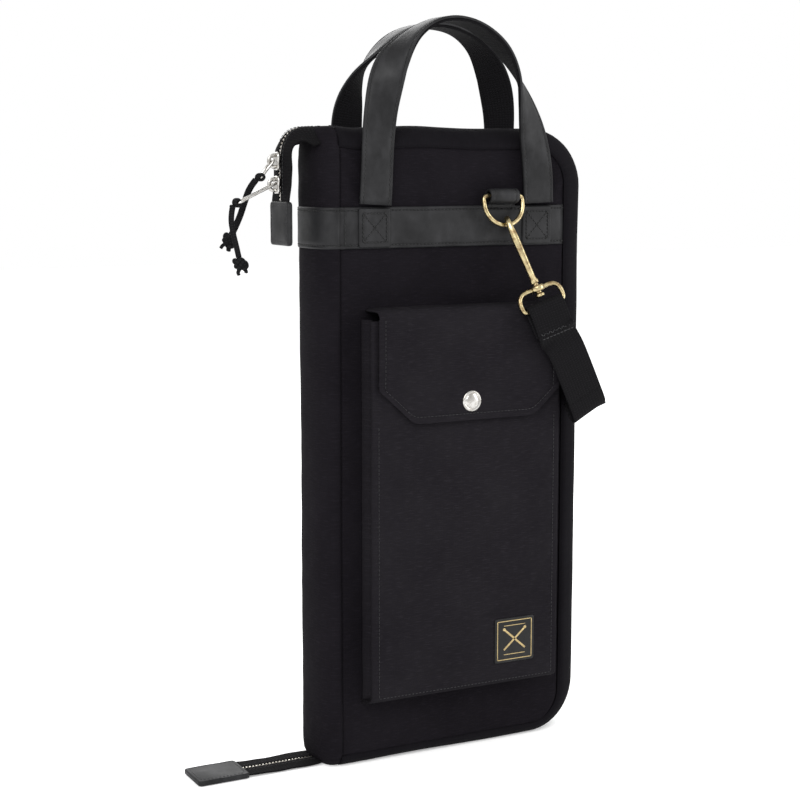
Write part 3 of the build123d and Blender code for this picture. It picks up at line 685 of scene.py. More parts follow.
# ---------------------------------------------------------------- cover panels, zip and linings
def make_cover(side, body, seed):
    turn = (lambda g: g) if side == "front" else to_back
    flip = side == "front"
    face = face_grid(seed)
    held = edge_mask(face, 2)
    held |= (face[..., 2] > 389) & (face[..., 2] < 424)
    if side == "front":
        held |= (abs(face[..., 0] + 3) < 83) & (face[..., 2] > 48) & (face[..., 2] < 350)
    face = settled(face, held)
    panel = cloth(side + "_canvas", turn(face), "canvas", 1.5, flip=not flip, flat_uv=True)
    # the gusset takes the darker canvas copy, which is painted shade
    gusset = cloth(side + "_gusset", turn(gusset_grid(seed)), "gusset_shade", 1.5, flip=flip)
    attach(panel, body)
    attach(gusset, body)
    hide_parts(side + "_panel")
    tape = cloth(side + "_tape", turn(tape_grid()), "tape", 1.0, flip=flip)
    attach(tape, body)
    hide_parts(side + "_zip_tape")
    sign = -1 if side == "front" else 1
    row = teeth(side + "_teeth", rim_path(1.6), sign, 0.0 if sign < 0 else 0.5)
    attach(row, body)
    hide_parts(side + "_zip_teeth")
    pad = lining_pad(side + "_quilt", turn, flip)
    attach(pad, body)
    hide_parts(side + "_lining")


def rim_path(inset):
    """Line that follows the rim a little inside it, in the bag's mid-plane, with outward normals."""
    line = rim_line(0.0)
    along = unit(np.gradient(line, axis=0))
    out = np.stack([along[:, 1], -along[:, 0]], axis=-1)
    line = line - out * inset
    points = settle_rim(np.stack([line[:, 0], 0 * line[:, 0], line[:, 1]], axis=-1))
    normals = np.stack([out[:, 0], 0 * out[:, 0], out[:, 1]], axis=-1)
    return points, normals


def tape_grid():
    rows = []
    for reach in (10.4, 8.0, 5.5, 3.4, 2.4, 1.7):
        line, _ = rim_path(1.6 + 0.35 * (reach < 9) - 0.5 * (1.7 < reach < 2.6))
        line = line.copy()
        line[:, 1] = -reach
        rows.append(line)
    return np.array(rows)


TOOTH = [  # distance from the middle, half length, how far it stands out, how far it goes in
    (2.75, 0.55, 0.55, 0.9),
    (2.2, 0.66, 0.95, 1.2),
    (1.1, 0.66, 1.0, 1.2),
    (0.5, 0.60, 0.85, 1.0),
    (0.12, 0.42, 0.55, 0.7),
]


def teeth(name, path_and_normals, sign, phase, pitch=2.7, reach=1.0):
    """A row of separate zip teeth on one side of the middle line."""
    line, out = path_and_normals
    run = running(line)
    at = np.arange(pitch * (0.5 + phase * 1.0), run[-1] - pitch * 0.3, pitch)
    centre = np.stack([np.interp(at, run, line[:, k]) for k in range(3)], axis=-1)
    normal = unit(np.stack([np.interp(at, run, out[:, k]) for k in range(3)], axis=-1))
    across = np.array([0, sign, 0.0])
    along = unit(np.cross(normal, across))
    points, faces = [], []
    for c, n, t in zip(centre, normal, along):
        base = len(points)
        for away, half, proud, deep in TOOTH:
            level = c + across * away * reach
            points += [level - t * half + n * proud, level + t * half + n * proud,
                       level + t * half - n * deep, level - t * half - n * deep]
        for k in range(len(TOOTH) - 1):
            for j in range(4):
                p, q = base + 4 * k + j, base + 4 * k + (j + 1) % 4
                faces.append((p, q, q + 4, p + 4) if sign > 0 else (p + 4, q + 4, q, p))
        last = base + 4 * (len(TOOTH) - 1)
        first_cap, last_cap = (base + 3, base + 2, base + 1, base), (last, last + 1, last + 2, last + 3)
        faces += [first_cap, last_cap] if sign > 0 else [first_cap[::-1], last_cap[::-1]]
    return piece(name, points, faces, "teeth", smooth=False)


def lining_pad(name, turn, flip):
    """Padded lining with sewn channels, behind the face of a cover."""
    xs = np.linspace(-97.5, 97.0, 60)
    zs = np.linspace(15.5, 464.5, 120)
    grid = np.empty((len(xs), len(zs), 3))
    for i, x in enumerate(xs):
        for j, z in enumerate(zs):
            corner = max(0.0, x - 72) ** 2 / 25 * (1 if (z < 40 or z > 440) else 0)
            pull = min(corner * 0.35, 9)
            z_in = z + (pull if z < 240 else -pull)
            puff = abs(np.sin(np.pi * (z - 15.5) / 74.8)) ** 0.35 * ease(min(x + 98, 97.5 - x), 0, 10)
            grid[i, j] = (x, -21.8 + 0.9 * puff + 0.25 * wobble(x, 0, z, 30, 4), z_in)
    pad = cloth(name, turn(grid), "lining", 1.2, flip=flip)
    return pad


# ---------------------------------------------------------------- spine
def half_depth(z):
    """Half thickness of the bag at a height, as the gusset's edge leaves it at the spine side."""
    fraction = min(1.0, (480 - z) / SEAM_TOP, z / SEAM_LOW)
    fraction = max(fraction, 0.0)
    return GUSSET_Y + (FACE_Y - GUSSET_Y) * np.sqrt(max(0.0, 1 - (1 - fraction) ** 2))


def spine_line(z, grow=0.0, steps=41):
    """Plan of the spine at a height, from the front cover's edge round to the back one's."""
    half = half_depth(z) + grow
    reach = (13.7 * (0.45 + 0.55 * (half_depth(z) - GUSSET_Y) / (FACE_Y - GUSSET_Y))) + grow
    angles = np.linspace(-np.pi / 2, np.pi / 2, steps)
    x = LEFT - 0.03 - reach * np.abs(np.cos(angles)) ** 0.78
    y = half * np.sign(np.sin(angles)) * np.abs(np.sin(angles)) ** 0.86
    return np.stack([x, y], axis=-1)


def make_spine():
    levels = np.concatenate([np.array([0.6, 1.4, 2.6, 4.2, 6.2, 8.5]), np.linspace(12, 463, 120),
                             np.array([467.0, 470.5, 473.5, 476, 477.8, 479.0])])
    grid = np.empty((41, len(levels), 3))
    for j, z in enumerate(levels):
        line = spine_line(z)
        for i, (x, y) in enumerate(line):
            seed = 0.0 if y < 0 else 20.0
            near = max(min(466 - z, z - 8), 0.0)
            swell = face_swell(x, z, seed, near) * np.sign(y) * ease(abs(y), 4, 24)
            free = ease(min(i, 40 - i), 0, 12)
            out = free * (0.7 * creases(x, y, z, 1.3) + 0.4 * wobble(x, y, z, 16, 8) - 1.1)
            grid[i, j] = (x - out, y + swell, z)
    spine = cloth("spine_canvas", grid, "canvas", 1.5)
    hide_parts("spine_fold")
    bend_at_spine(spine)


def bend_at_spine(obj):
    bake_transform(obj)


# ---------------------------------------------------------------- leather bands and feet
EDGE_HEIGHTS = [(0, 0.15), (0.3, 0.85), (0.9, 1.25), (1.7, 1.35), (2.3, 1.0), (2.7, 0.82), (3.1, 1.0),
                (3.8, 1.3), (6.0, 1.35), (9.5, 1.3)]


def band_rows(low, top):
    """Heights across a band and how far the leather stands out there, thick by its stitched edges."""
    rows = [(low + d, h) for d, h in EDGE_HEIGHTS]
    rows.append(((low + top) / 2, 1.25))
    rows += [(top - d, h) for d, h in EDGE_HEIGHTS[::-1]]
    return rows


def band_cloth(name, plan, ends, low, top, seed):
    """Leather strip along a plan line of (x, y), standing out from it; ends are the outward directions."""
    rows = band_rows(low, top)
    grid = np.empty((len(plan), len(rows), 3))
    for i in range(len(plan)):
        free_end = ease(BAND_RIGHT - plan[i][0], -0.4, 2.4)
        for j, (z, h) in enumerate(rows):
            x, y = plan[i]
            h = h * free_end + 0.22 * wobble(x, y, z, 14, seed)
            wave = 0.35 * wobble(x, y, 0, 40, seed + 3)
            grid[i, j] = (x + ends[i, 0] * h, y + ends[i, 1] * h, z + wave)
    return cloth(name, grid, "leather", 1.3)


def line_at(plan, out, z, out_by):
    points = np.stack([plan[:, 0] + out[:, 0] * out_by, plan[:, 1] + out[:, 1] * out_by,
                       np.full(len(plan), float(z))], axis=-1)
    return points, np.stack([out[:, 0], out[:, 1], 0 * out[:, 0]], axis=-1)


def foot_box(x, y, half, low, top):
    """Stitch lines of a box with a cross in it."""
    a, b = (x - half, y, low), (x + half, y, low)
    c, d = (x + half, y, top), (x - half, y, top)
    return [[a, b], [b, c], [c, d], [d, a], [a, c], [b, d]]


BAND_RIGHT = 91.7


def band_plan():
    """Plan of the whole leather band, from the back cover's end round the spine to the front one's."""
    middle = spine_line(406, 0.35)[::-1]
    swell_back = 26.35 + 0.8
    front = [(x, -swell_back + 0.6 * ease(x, 70, 92)) for x in np.linspace(LEFT + 4, BAND_RIGHT, 50)]
    back = [(x, -y) for x, y in front[::-1]]
    middle[:, 1] *= (swell_back / 26.35)
    plan = np.vstack([back, middle, front])
    along = unit(np.gradient(plan, axis=0))
    out = np.stack([along[:, 1], -along[:, 0]], axis=-1)
    return plan, out, len(back), len(back) + len(middle) - 1


def make_bands():
    plan, out, first, last = band_plan()
    parts = (("back_band_leather", slice(0, first + 1), "root"),
             ("spine_band_leather", slice(first, last + 1), None),
             ("front_band_leather", slice(last, None), "front_cover"))
    for name, part, body in parts:
        band = band_cloth(name, plan[part], out[part], 391.4, 422.0, 1.0)
        sewn = [line_at(plan[part], out[part], z, 0.95) for z in (394.1, 419.3)]
        rows = stitches(name + "_stitches", [s[0] for s in sewn], [s[1] for s in sewn],
                        3.0, 0.8, 0.25, "dark_thread")
        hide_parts(name.replace("_leather", ""))
        for made in (band, rows):
            if body:
                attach(made, body)
            else:
                bend_at_spine(made)
    upright = [[(-96.5, -28.6, 394.5), (-96.5, -28.6, 419.0)]]
    row = stitches("band_upright_stitches", upright, [FORWARD], 3.0, 0.7, 0.2, "dark_thread")
    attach(row, "front_cover")


def plate(name, centre, u, v, half_u, half_v, corner, rings, finish, crown=0.0, seed=0.0, rough=0.15):
    """Sewn-down pad or tab: rounded rectangle whose rings are (inset, height) from edge to middle."""
    centre, u, v = np.array(centre, float), np.array(u, float), np.array(v, float)
    n = np.cross(u, v)
    quarter = np.linspace(0, np.pi / 2, 7)
    points, uvs = [], []
    for inset, height in rings:
        a, b = max(half_u - inset, 0.2), max(half_v - inset, 0.2)
        r = max(min(corner - inset * 0.8, a * 0.98, b * 0.98), 0.15)
        loop = []
        for cx, cy, turn in ((a - r, b - r, 0), (r - a, b - r, 1), (r - a, r - b, 2), (a - r, r - b, 3)):
            for q in quarter:
                angle = q + turn * np.pi / 2
                loop.append((cx + r * np.cos(angle), cy + r * np.sin(angle)))
        side = resample(np.array([(x, y, 0) for x, y in loop + loop[:1]]), 1.0)
        loop = np.array([np.interp(np.linspace(0, 1, 97)[:-1], np.linspace(0, 1, len(side)), side[:, k])
                         for k in range(2)]).T
        count = len(loop)
        for x, y in loop:
            extra = crown * (1 - (x / half_u) ** 2) * (1 - (y / half_v) ** 2)
            place = centre + u * x + v * y
            bumpy = rough * wobble(*place, 9, seed) if height > 0.3 else 0
            points.append(place + n * (height + extra + bumpy))
            uvs.append(((x + half_u) * MM, (y + half_v) * MM))
    faces = wall(len(rings), count) + end_faces(len(rings), count)[::-1]
    return piece(name, points, faces, finish, uvs)


PAD_RINGS = [(0, 0), (0.1, 1.1), (0.4, 1.6), (1.0, 1.75), (2.0, 1.8), (3.1, 1.6), (4.0, 1.75), (6.5, 1.8),
             (10.0, 1.75)]


def make_feet(side, xs, body):
    sign = -1 if side == "front" else 1
    pads, rows = [], []
    for number, x in enumerate(xs):
        u = (-sign, 0, 0)
        pads.append(plate(side + "_foot", (x, sign * 27.9, 406.7), u, UP, 13, 14.4, 1.5, PAD_RINGS,
                          "leather", 0.15, number + 5.0))
        y = sign * 29.75
        rows += foot_box(x, y, 9.6, 396.2, 417.2)
    pad = joined(side + "_feet_leather", pads)
    sewn = stitches(side + "_feet_stitches", rows, [np.array([0, sign, 0.0])] * len(rows),
                    2.9, 0.85, 0.3, "dark_thread")
    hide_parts(side + "_handle_feet")
    for made in (pad, sewn):
        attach(made, body)


# ---------------------------------------------------------------- handles
FRONT_HANDLE = [
    (-72.5, -30.5, 423.5, 0), (-70.0, -30.5, 470, 0), (-66.5, -30.5, 500, 10), (-59.5, -30.0, 524, 40),
    (-47.5, -29.5, 541, 75), (-33.0, -29.0, 552, 90), (-16.0, -29.0, 558, 90), (2.0, -29.0, 557, 90),
    (19.0, -29.0, 550, 90), (34.0, -29.0, 538, 85), (46.0, -29.5, 521, 65), (55.0, -30.0, 499, 35),
    (61.5, -30.5, 474, 10), (65.5, -30.5, 448, 0), (66.5, -30.5, 423.5, 0),
]
BACK_HANDLE = [
    (-67.5, 30.5, 423.5, 0), (-67.0, 30.5, 470, 0), (-65.0, 30.5, 494, 10), (-58.5, 30.0, 514, 40),
    (-46.5, 29.5, 532, 75), (-30.0, 29.0, 547, 90), (-10.0, 29.0, 556, 90), (12.0, 29.0, 558, 90),
    (32.0, 29.0, 553, 90), (49.0, 29.5, 541, 75), (60.5, 30.0, 522, 45), (66.5, 30.5, 498, 15),
    (67.5, 30.5, 470, 0), (67.0, 30.5, 423.5, 0),
]
LEATHER_EDGE = [  # across from the edge, height of a stitched leather strap
    (0.0, 0.35), (0.25, 1.1), (0.8, 1.75), (1.6, 1.95), (2.2, 1.65), (2.7, 1.4), (3.2, 1.65), (4.2, 1.95),
    (7.5, 2.0), (13.0, 2.0),
]


def handle_profile(width, upward):
    half = width / 2
    top = [(-half + d, h) for d, h in LEATHER_EDGE] + [(half - d, h) for d, h in LEATHER_EDGE[-2::-1]]
    profile = np.array(top + [(half, 0.06), (-half, 0.06)])
    return profile if upward else profile * np.array([1, -1])


def make_handle(side, points, top_y, body):
    sign = -1 if side == "front" else 1
    dense = catmull(points, 7)
    path = dense[:, :3].copy()
    for p in path:
        p[0] += 0.5 * wobble(p[0], p[1], p[2], 45, sign * 2.0)
    turn = np.radians(dense[:, 3] + 5 * np.sin(dense[:, 3] / 90 * np.pi))
    along = unit(np.gradient(path, axis=0))
    outward = np.array([0, -1.0, 0])
    level = unit(np.cross(outward, along))
    across = level * np.cos(turn)[:, None] + np.array([0, top_y, 0.0]) * np.sin(turn)[:, None]
    upward = side == "front"
    leather = swept(side + "_handle_hide", path, across, handle_profile(26, upward), "leather")
    inner = strap_profile(25.2, 1.9, 0.7) + np.array([0, 1.0 if not upward else -1.0])
    web = swept(side + "_handle_web", path, across, inner, "webbing")
    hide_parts(side + "_handle_leather")
    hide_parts(side + "_handle_webbing")
    across = unit(across - along * (across * along).sum(1, keepdims=True))
    through = np.cross(along, across) * (1 if upward else -1)
    rows = [path + across * a + through * 1.42 for a in (-10.3, 10.3)]
    hem = stitches(side + "_handle_stitches", rows, [through, through], 3.4, 0.7, 0.2, "dark_thread")
    for made in (leather, web, hem):
        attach(made, body)


# ---------------------------------------------------------------- ring loops and shoulder strap
def ring_loop(name, x, sign, body, node):
    """Leather keeper rolled over the bar of a D ring, pinched between the band and the ring."""
    y, z = 33.0, 429.0
    arc = [(y + 3.7 * np.cos(a), z + 3.7 * np.sin(a)) for a in np.radians(np.linspace(-100, 170, 22))]
    path = [(28.3, 420.5), (29.6, 424.0)] + arc[1:] + [(28.7, 425.5), (27.8, 421.0)]
    path = resample(np.array([(0, a, b) for a, b in path]), 0.9)
    xs = np.concatenate([[-11.5, -11.2, -10.4, -9.4, -9.0, -8.6], np.linspace(-7.6, 7.6, 14),
                         [8.6, 9.0, 9.4, 10.4, 11.2, 11.5]])
    groove = {9.0: -0.3, 8.6: -0.15, 9.4: -0.15, 11.5: -0.5}
    grid = np.empty((len(path), len(xs), 3))
    tangent = unit(np.gradient(path, axis=0))
    for i, (_, a, b) in enumerate(path):
        out = np.array([tangent[i, 2], -tangent[i, 1]])
        for j, u in enumerate(xs):
            h = groove.get(round(abs(u), 1), 0.0) + 0.35 * wobble(u * 1.3, a, b, 7, 2) + 0.5
            grid[i, j] = (x + u, sign * (a + out[0] * h), b + out[1] * h)
    keeper = cloth(name, grid, "leather", 1.5, flip=sign > 0)
    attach(keeper, body)
    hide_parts(node)
    sewn = [[(x - 9.0, sign * 30.2, 421.6), (x - 9.0, sign * 31.6, 424.5)]]
    return keeper, sewn


HOOK_UP = unit(np.array([-0.288, 0.304, 0.908]))
BEND = np.array([37.864, -38.376, 405.145])
BAR = BEND - HOOK_UP * 64.0
ACROSS = unit(np.cross(np.array([0, 1.0, 0]), HOOK_UP))


def smooth_stations(points, directions, per=8):
    """Dense path and width directions through strap stations."""
    path = catmull(points, per)
    across = unit(catmull(directions, per))
    return path, across


def eye_wrap(bar, up, sign):
    """Strap end turned round the eye's bar: from behind, over the bar and down the front."""
    front = np.array([0, sign, 0.0])
    front = unit(front - up * front.dot(up))
    radius = 3.1
    angles = np.radians([-5, 30, 60, 90, 120, 150, 185])
    return [bar + radius * (np.cos(a) * front + np.sin(a) * up) for a in angles]


WEBBING = strap_profile(32, 2.0, 0.8)
BACK_SHIFT = -67.6
FOLD_ACROSS = (0.879, 0, 0.477)
TURN = [
    ((94.0, -57.5, 276.0), FOLD_ACROSS),
    ((98.2, -57.0, 267.4), FOLD_ACROSS),
    ((100.6, -54.6, 263.4), FOLD_ACROSS),
    ((101.2, -51.2, 263.2), FOLD_ACROSS),
    ((101.0, -47.6, 267.0), FOLD_ACROSS),
    ((103.0, -43.6, 273.0), (0.45, -0.2, 0.87)),
    ((108.0, -36.5, 278.0), (-0.1, -0.1, 0.99)),
    ((113.4, -29.0, 280.0), (-0.1, 0, 0.99)),
    ((117.4, -16.0, 280.0), (0, 0, 1)),
    ((117.8, 2.0, 280.0), (0, 0, 1)),
    ((116.8, 17.0, 280.0), (0, 0, 1)),
    ((109.8, 28.8, 280.0), (0, 0, 1)),
]


def make_strap():
    """Hanging end of the shoulder strap, sewn round the eye, and its turn round the bag's free edge."""
    wrap = eye_wrap(BAR, HOOK_UP, -1)
    back_layer = [BAR - HOOK_UP * 22 + np.array([0, 3.1, 0]), BAR - HOOK_UP * 8 + np.array([0, 2.6, 0])]
    ahead = [BAR - HOOK_UP * 8 + np.array([0, -2.6, 0]), BAR - HOOK_UP * 20 + np.array([0, -1.0, 0]),
             np.array([69.5, -58.9, 322.0]), np.array([76.5, -58.6, 311.5]), np.array([86.0, -58.2, 292.5])]
    points = back_layer + wrap[::-1] + ahead
    blend_in = [ease(i, 9, 13) for i in range(len(points))]
    directions = [ACROSS * (1 - w) + np.array(FOLD_ACROSS) * w for w in blend_in]
    split = len(points) * 6
    path, across = smooth_stations(points + [p for p, _ in TURN], directions + [d for _, d in TURN], 6)
    hanging = swept("strap_hanging", path[:split + 1], across[:split + 1], WEBBING, "webbing")
    turned = swept("strap_bend", path[split:], across[split:], WEBBING, "webbing")
    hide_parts("strap_front")
    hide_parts("strap_turn")
    seam_at = BAR - HOOK_UP * 19.5 + np.array([0, -2.35, 0])
    zigzag = [seam_at + ACROSS * a + HOOK_UP * (1.6 * (-1) ** k)
              for k, a in enumerate(np.linspace(-14, 14, 15))]
    straight = [[seam_at + ACROSS * a + HOOK_UP * b for a in (-14.5, 14.5)] for b in (-3.2, 3.2)]
    sewn = stitches("strap_stitches", [zigzag] + straight, [FORWARD] * 3, 3.2, 0.7, 0.3)
    for made in (hanging, sewn):
        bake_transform(made)
    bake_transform(turned)
    behind = [(109.0, 29.4, 280), (104, 31.6, 280), (98, 33.0, 280), (84, 35.0, 280), (70, 36.2, 280),
              (54.2, 37.0, 280)]
    path, across = smooth_stations(behind, [(0, 0, 1.0)] * len(behind), 8)
    back = swept("strap_behind", path, across, WEBBING, "webbing")
    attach(back, "root")
    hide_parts("strap_back")


def make_hank():
    """Spare length folded to and fro into a hank, with a loop of webbing round its middle."""
    layers, gap = 8, 2.22
    path = []
    for k in range(layers):
        y = 29.8 + gap * k
        wave = 0.25 * np.sin(k * 1.7)
        ends = (135.0, 292.5) if k % 2 == 0 else (292.5, 135.0)
        run = np.linspace(ends[0], ends[1], 16)
        path += [(38 + wave, y + 0.25 * np.sin(z / 19 + k), z) for z in run]
        if k < layers - 1:
            turn = 1 if k % 2 == 0 else -1
            for a in np.radians([-50, 0, 50]):
                path.append((38 + wave, y + gap / 2 + gap / 2 * np.sin(a), ends[1] + turn * 1.4 * np.cos(a)))
    path = np.array(path)
    across = np.tile(np.array([1.0, 0, 0]), (len(path), 1))
    hank = swept("hank_folds", path, across, strap_profile(32, 1.9, 0.7), "webbing")
    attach(hank, "root")
    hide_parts("strap_hank")
    corner = [(38 + 17 * sx + 0.6 * a, 37.5 + 10 * sy + 0.6 * b)
              for sx, sy, a, b in ((1, -1, 0, -1), (1, -1, 1, 0), (1, 1, 1, 0), (1, 1, 0, 1),
                                   (-1, 1, 0, 1), (-1, 1, -1, 0), (-1, -1, -1, 0), (-1, -1, 0, -1))]
    loop = resample(np.array([(x, y, 209.0) for x, y in corner + corner[:1]]), 2.0)[:-1]
    up = np.tile(UP, (len(loop), 1))
    tie = swept("hank_loop", loop, up, strap_profile(18, 1.4, 0.6), "leather", closed=True)
    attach(tie, "root")
    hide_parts("hank_tie")


def make_far_end():
    """Other end of the shoulder strap, from the back eye to the hank."""
    shift = np.array([BACK_SHIFT, 0, 0])
    flip = np.array([1, -1, 1.0])
    bar, up, across = BAR * flip + shift, HOOK_UP * flip, ACROSS * flip
    wrap = eye_wrap(bar, up, 1)
    points = [bar - up * 20 + np.array([0, -3.0, 0]), bar - up * 8 + np.array([0, -2.6, 0])] + wrap[::-1]
    points += [bar - up * 9 + np.array([0, 2.6, 0]), np.array([1.5, 59.6, 333.0]),
               np.array([9.0, 58.9, 326.0]), np.array([26.0, 53.4, 310.5]), np.array([38.0, 46.6, 297.5])]
    directions = [across] * 10 + [(0.7, 0, 0.7), (0.66, 0, 0.75), (0.8, 0, 0.6), (1, 0, 0.0)]
    path, across = smooth_stations(points, directions, 5)
    strap = swept("strap_far", path, across, WEBBING, "webbing")
    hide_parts("strap_far_end")
    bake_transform(strap)


# ---------------------------------------------------------------- pocket, flap, snap and label
POCKET_LEFT, POCKET_RIGHT = -84.0, 77.5
POCKET_DEEP = 22.0
PLEAT = [(1.2, 0.02), (0.6, 0.10), (3.6, 0.30), (5.0, 0.42), (3.6, 0.55), (0.6, 0.80), (0.1, 0.90),
         (0.6, 0.97), (1.8, 1.0)]


def pocket_section():
    """Plan of the pocket: left pleat, face and right pleat, as (x, depth share)."""
    left = [(POCKET_LEFT + a, d) for a, d in PLEAT]
    face = [(x, 1.0) for x in np.linspace(POCKET_LEFT + 4.5, POCKET_RIGHT - 4.5, 56)]
    right = [(POCKET_RIGHT - a, d) for a, d in PLEAT[::-1]]
    return left + face + right


LABEL_X, LABEL_Z = 37.6, 88.0


def make_pocket():
    section = pocket_section()
    levels = np.concatenate([50 + np.array([0.0, 0.2, 0.7, 1.5, 2.6, 4.0, 5.8, 8.0]),
                             np.linspace(62, 336, 92), np.array([338.0, 339.2, 340.0])])
    grid = np.empty((len(section), len(levels), 3))
    for i, (x, share) in enumerate(section):
        for j, z in enumerate(levels):
            low = np.clip((z - 50) / 7.0, 0, 1)
            deep = POCKET_DEEP * np.sqrt(max(0.0, 1 - (1 - low) ** 2))
            inner = ease(min(x - POCKET_LEFT, POCKET_RIGHT - x), 4, 26) * ease(z, 52, 80)
            belly = inner * (0.9 + 0.8 * wobble(x, 0, z * 0.7, 62, 9) + 0.25 * wobble(x, 0, z, 20, 3))
            pinch = 0.35 * wobble(0, share * 10, z, 26, 6) * (share < 0.95)
            hem = 0.5 * np.exp(-((z - 326) / 1.4) ** 2)
            near_edge = min(x - POCKET_LEFT, POCKET_RIGHT - x)
            hem += 0.45 * np.exp(-((near_edge - 4.6) / 1.0) ** 2) * (share > 0.98)
            hem += 0.45 * np.exp(-((z - 56.2) / 1.0) ** 2) * (share > 0.98)
            y = -(26.9 + (deep - 0.9) * share + (belly - hem) * share)
            grid[i, j] = (x + pinch, y, z)
    held = edge_mask(grid, 10)
    held[:, :12] = True
    held |= (abs(grid[..., 0] - LABEL_X) < 20) & (abs(grid[..., 2] - LABEL_Z) < 20)
    grid = settled(grid, held, 0.004)
    body = cloth("pocket_cloth", grid, "pocket", 1.4, flat_uv=True)
    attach(body, "front_cover")
    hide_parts("pocket_body")
    rows, normals = [], []
    edge_rows = ([(POCKET_LEFT + 5.2, z) for z in np.linspace(57, 262, 60)],
                 [(POCKET_RIGHT - 5.2, z) for z in np.linspace(57, 262, 60)],
                 [(x, 56.6) for x in np.linspace(POCKET_LEFT + 5.2, POCKET_RIGHT - 5.2, 50)])
    for row in edge_rows:
        rows.append([on_sheet(grid, x, z, -1, 0.1) for x, z in row])
        normals.append(FORWARD)
    sewn = stitches("pocket_stitches", rows, normals, 3.0, 0.5, 0.15)
    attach(sewn, "front_cover")
    return grid


def on_sheet(grid, x, z, sign, lift):
    """Point on the outer face of a front sheet at (x, z)."""
    flat = grid.reshape(-1, 3)
    outer = flat[flat[:, 1] < -40]
    near = outer[np.argmin((outer[:, 0] - x) ** 2 + (outer[:, 2] - z) ** 2)]
    return np.array([x, near[1] + sign * lift, z])


FLAP_LEFT, FLAP_RIGHT = -79.8, 74.4


def flap_low(x):
    """Lower edge of the flap, with its two corners cut off and rounded."""
    corners_of = [(FLAP_LEFT, 289.0), (-52.0, 263.2), (50.0, 263.2), (FLAP_RIGHT, 283.0)]
    xs, zs = np.array(corners_of).T
    spread = np.linspace(-4, 4, 9)
    if xs[0] + 4 < x < xs[-1] - 4:
        return float(np.mean(np.interp(x + spread, xs, zs)))
    return float(np.interp(x, xs, zs))


def make_flap():
    inset = np.array([0, 0.5, 1.3, 2.4, 3.8, 4.5, 5.0, 5.5, 6.4, 9.0])
    xs = np.concatenate([FLAP_LEFT + inset, np.linspace(FLAP_LEFT + 12, FLAP_RIGHT - 12, 48),
                         FLAP_RIGHT - inset[::-1]])
    roof = [(-27.2, 347.9), (-31, 348.4), (-36, 348.5), (-41, 348.5), (-45, 348.4), (-47.6, 348.0),
            (-49.6, 346.9), (-50.9, 345.2), (-51.4, 343.0)]
    down = np.concatenate([np.linspace(0.02, 0.86, 30),
                           [0.89, 0.915, 0.93, 0.9375, 0.945, 0.96, 0.978, 0.99, 1.0]])
    rows = len(roof) + len(down)
    grid = np.empty((len(xs), rows, 3))
    for i, x in enumerate(xs):
        low = flap_low(x)
        side = min(x - FLAP_LEFT, FLAP_RIGHT - x)
        shoulder = 3.2 * (1 - np.sqrt(max(0.0, 1 - (1 - min(side / 5.0, 1)) ** 2)))
        for j, (y, z) in enumerate(roof):
            grid[i, j] = (x, y, z - shoulder * 0.6 + 0.3 * wobble(x, y, z, 22, 4))
        for k, v in enumerate(down):
            z = 343.0 - v * (343.0 - low)
            from_low = (z - low)
            dip = 0.55 * np.exp(-((side - 5.0) / 0.5) ** 2) * (v < 0.94)
            dip += 0.55 * np.exp(-((from_low - 5.0) / 0.6) ** 2)
            free = ease(side, 0, 20)
            belly = free * (0.6 + 0.7 * wobble(x, 0, z, 48, 12) + 0.2 * wobble(x, 0, z, 17, 7))
            near_snap = np.exp(-((x + 3) ** 2 + (z - 277.5) ** 2) / 160)
            curl = -1.3 * (1 - ease(side, 0, 26)) * (1 - ease(from_low, 0, 30)) * 0.5
            y = -51.6 + dip - belly * (1 - near_snap) - 0.6 * (from_low < 5) * (v > 0.5) - curl
            grid[i, j + 1 + k] = (x, y, z)
    held = edge_mask(grid, 9)
    held[:, -9:] = True
    held |= ((grid[..., 0] + 3) ** 2 + (grid[..., 2] - 277.5) ** 2) < 200
    grid = settled(grid, held, 0.004)
    flap = cloth("flap_cloth", grid, "pocket", 1.7, flip=True, flat_uv=True)
    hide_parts("flap_top", "pocket_flap")
    rows = [[(x, -52.0, flap_low(x) + 5.0) for x in np.linspace(FLAP_LEFT + 5, FLAP_RIGHT - 5, 90)]]
    rows += [[(x, -52.0, z) for z in np.linspace(flap_low(x) + 6, 341, 36)]
             for x in (FLAP_LEFT + 5, FLAP_RIGHT - 5)]
    rows = [[on_sheet(grid, x, z, -1, 0.1) for x, _, z in row] for row in rows]
    sewn = stitches("flap_stitches", rows, [FORWARD] * 3, 3.0, 0.5, 0.12)
    for made in (flap, sewn):
        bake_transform(made)
    return grid


def lathe(name, centre, profile, finish, axis=(0, -1, 0), sides=48):
    """Turned piece: profile of (radius, height along the axis)."""
    axis = unit(np.array(axis, float))
    u = unit(np.cross(axis, UP if abs(axis[2]) < 0.9 else FORWARD))
    v = np.cross(axis, u)
    points = []
    angles = np.linspace(0, 2 * np.pi, sides, endpoint=False)
    for r, h in profile:
        points += [np.array(centre) + axis * h + r * (np.cos(a) * u + np.sin(a) * v) for a in angles]
    return piece(name, points, wall(len(profile), sides) + end_faces(len(profile), sides), finish)


def make_snap():
    cap = [(8.0, -0.1), (8.0, 0.5), (7.7, 1.0), (7.0, 1.35), (6.3, 1.3), (6.0, 1.05), (5.7, 1.05),
           (5.4, 1.4), (4.6, 1.75), (3.0, 2.05), (1.4, 2.18), (0.2, 2.2)]
    made = lathe("snap_dome", (-3.0, -51.6, 277.5), cap, "nickel")
    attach(made, "flap")
    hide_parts("snap_cap")


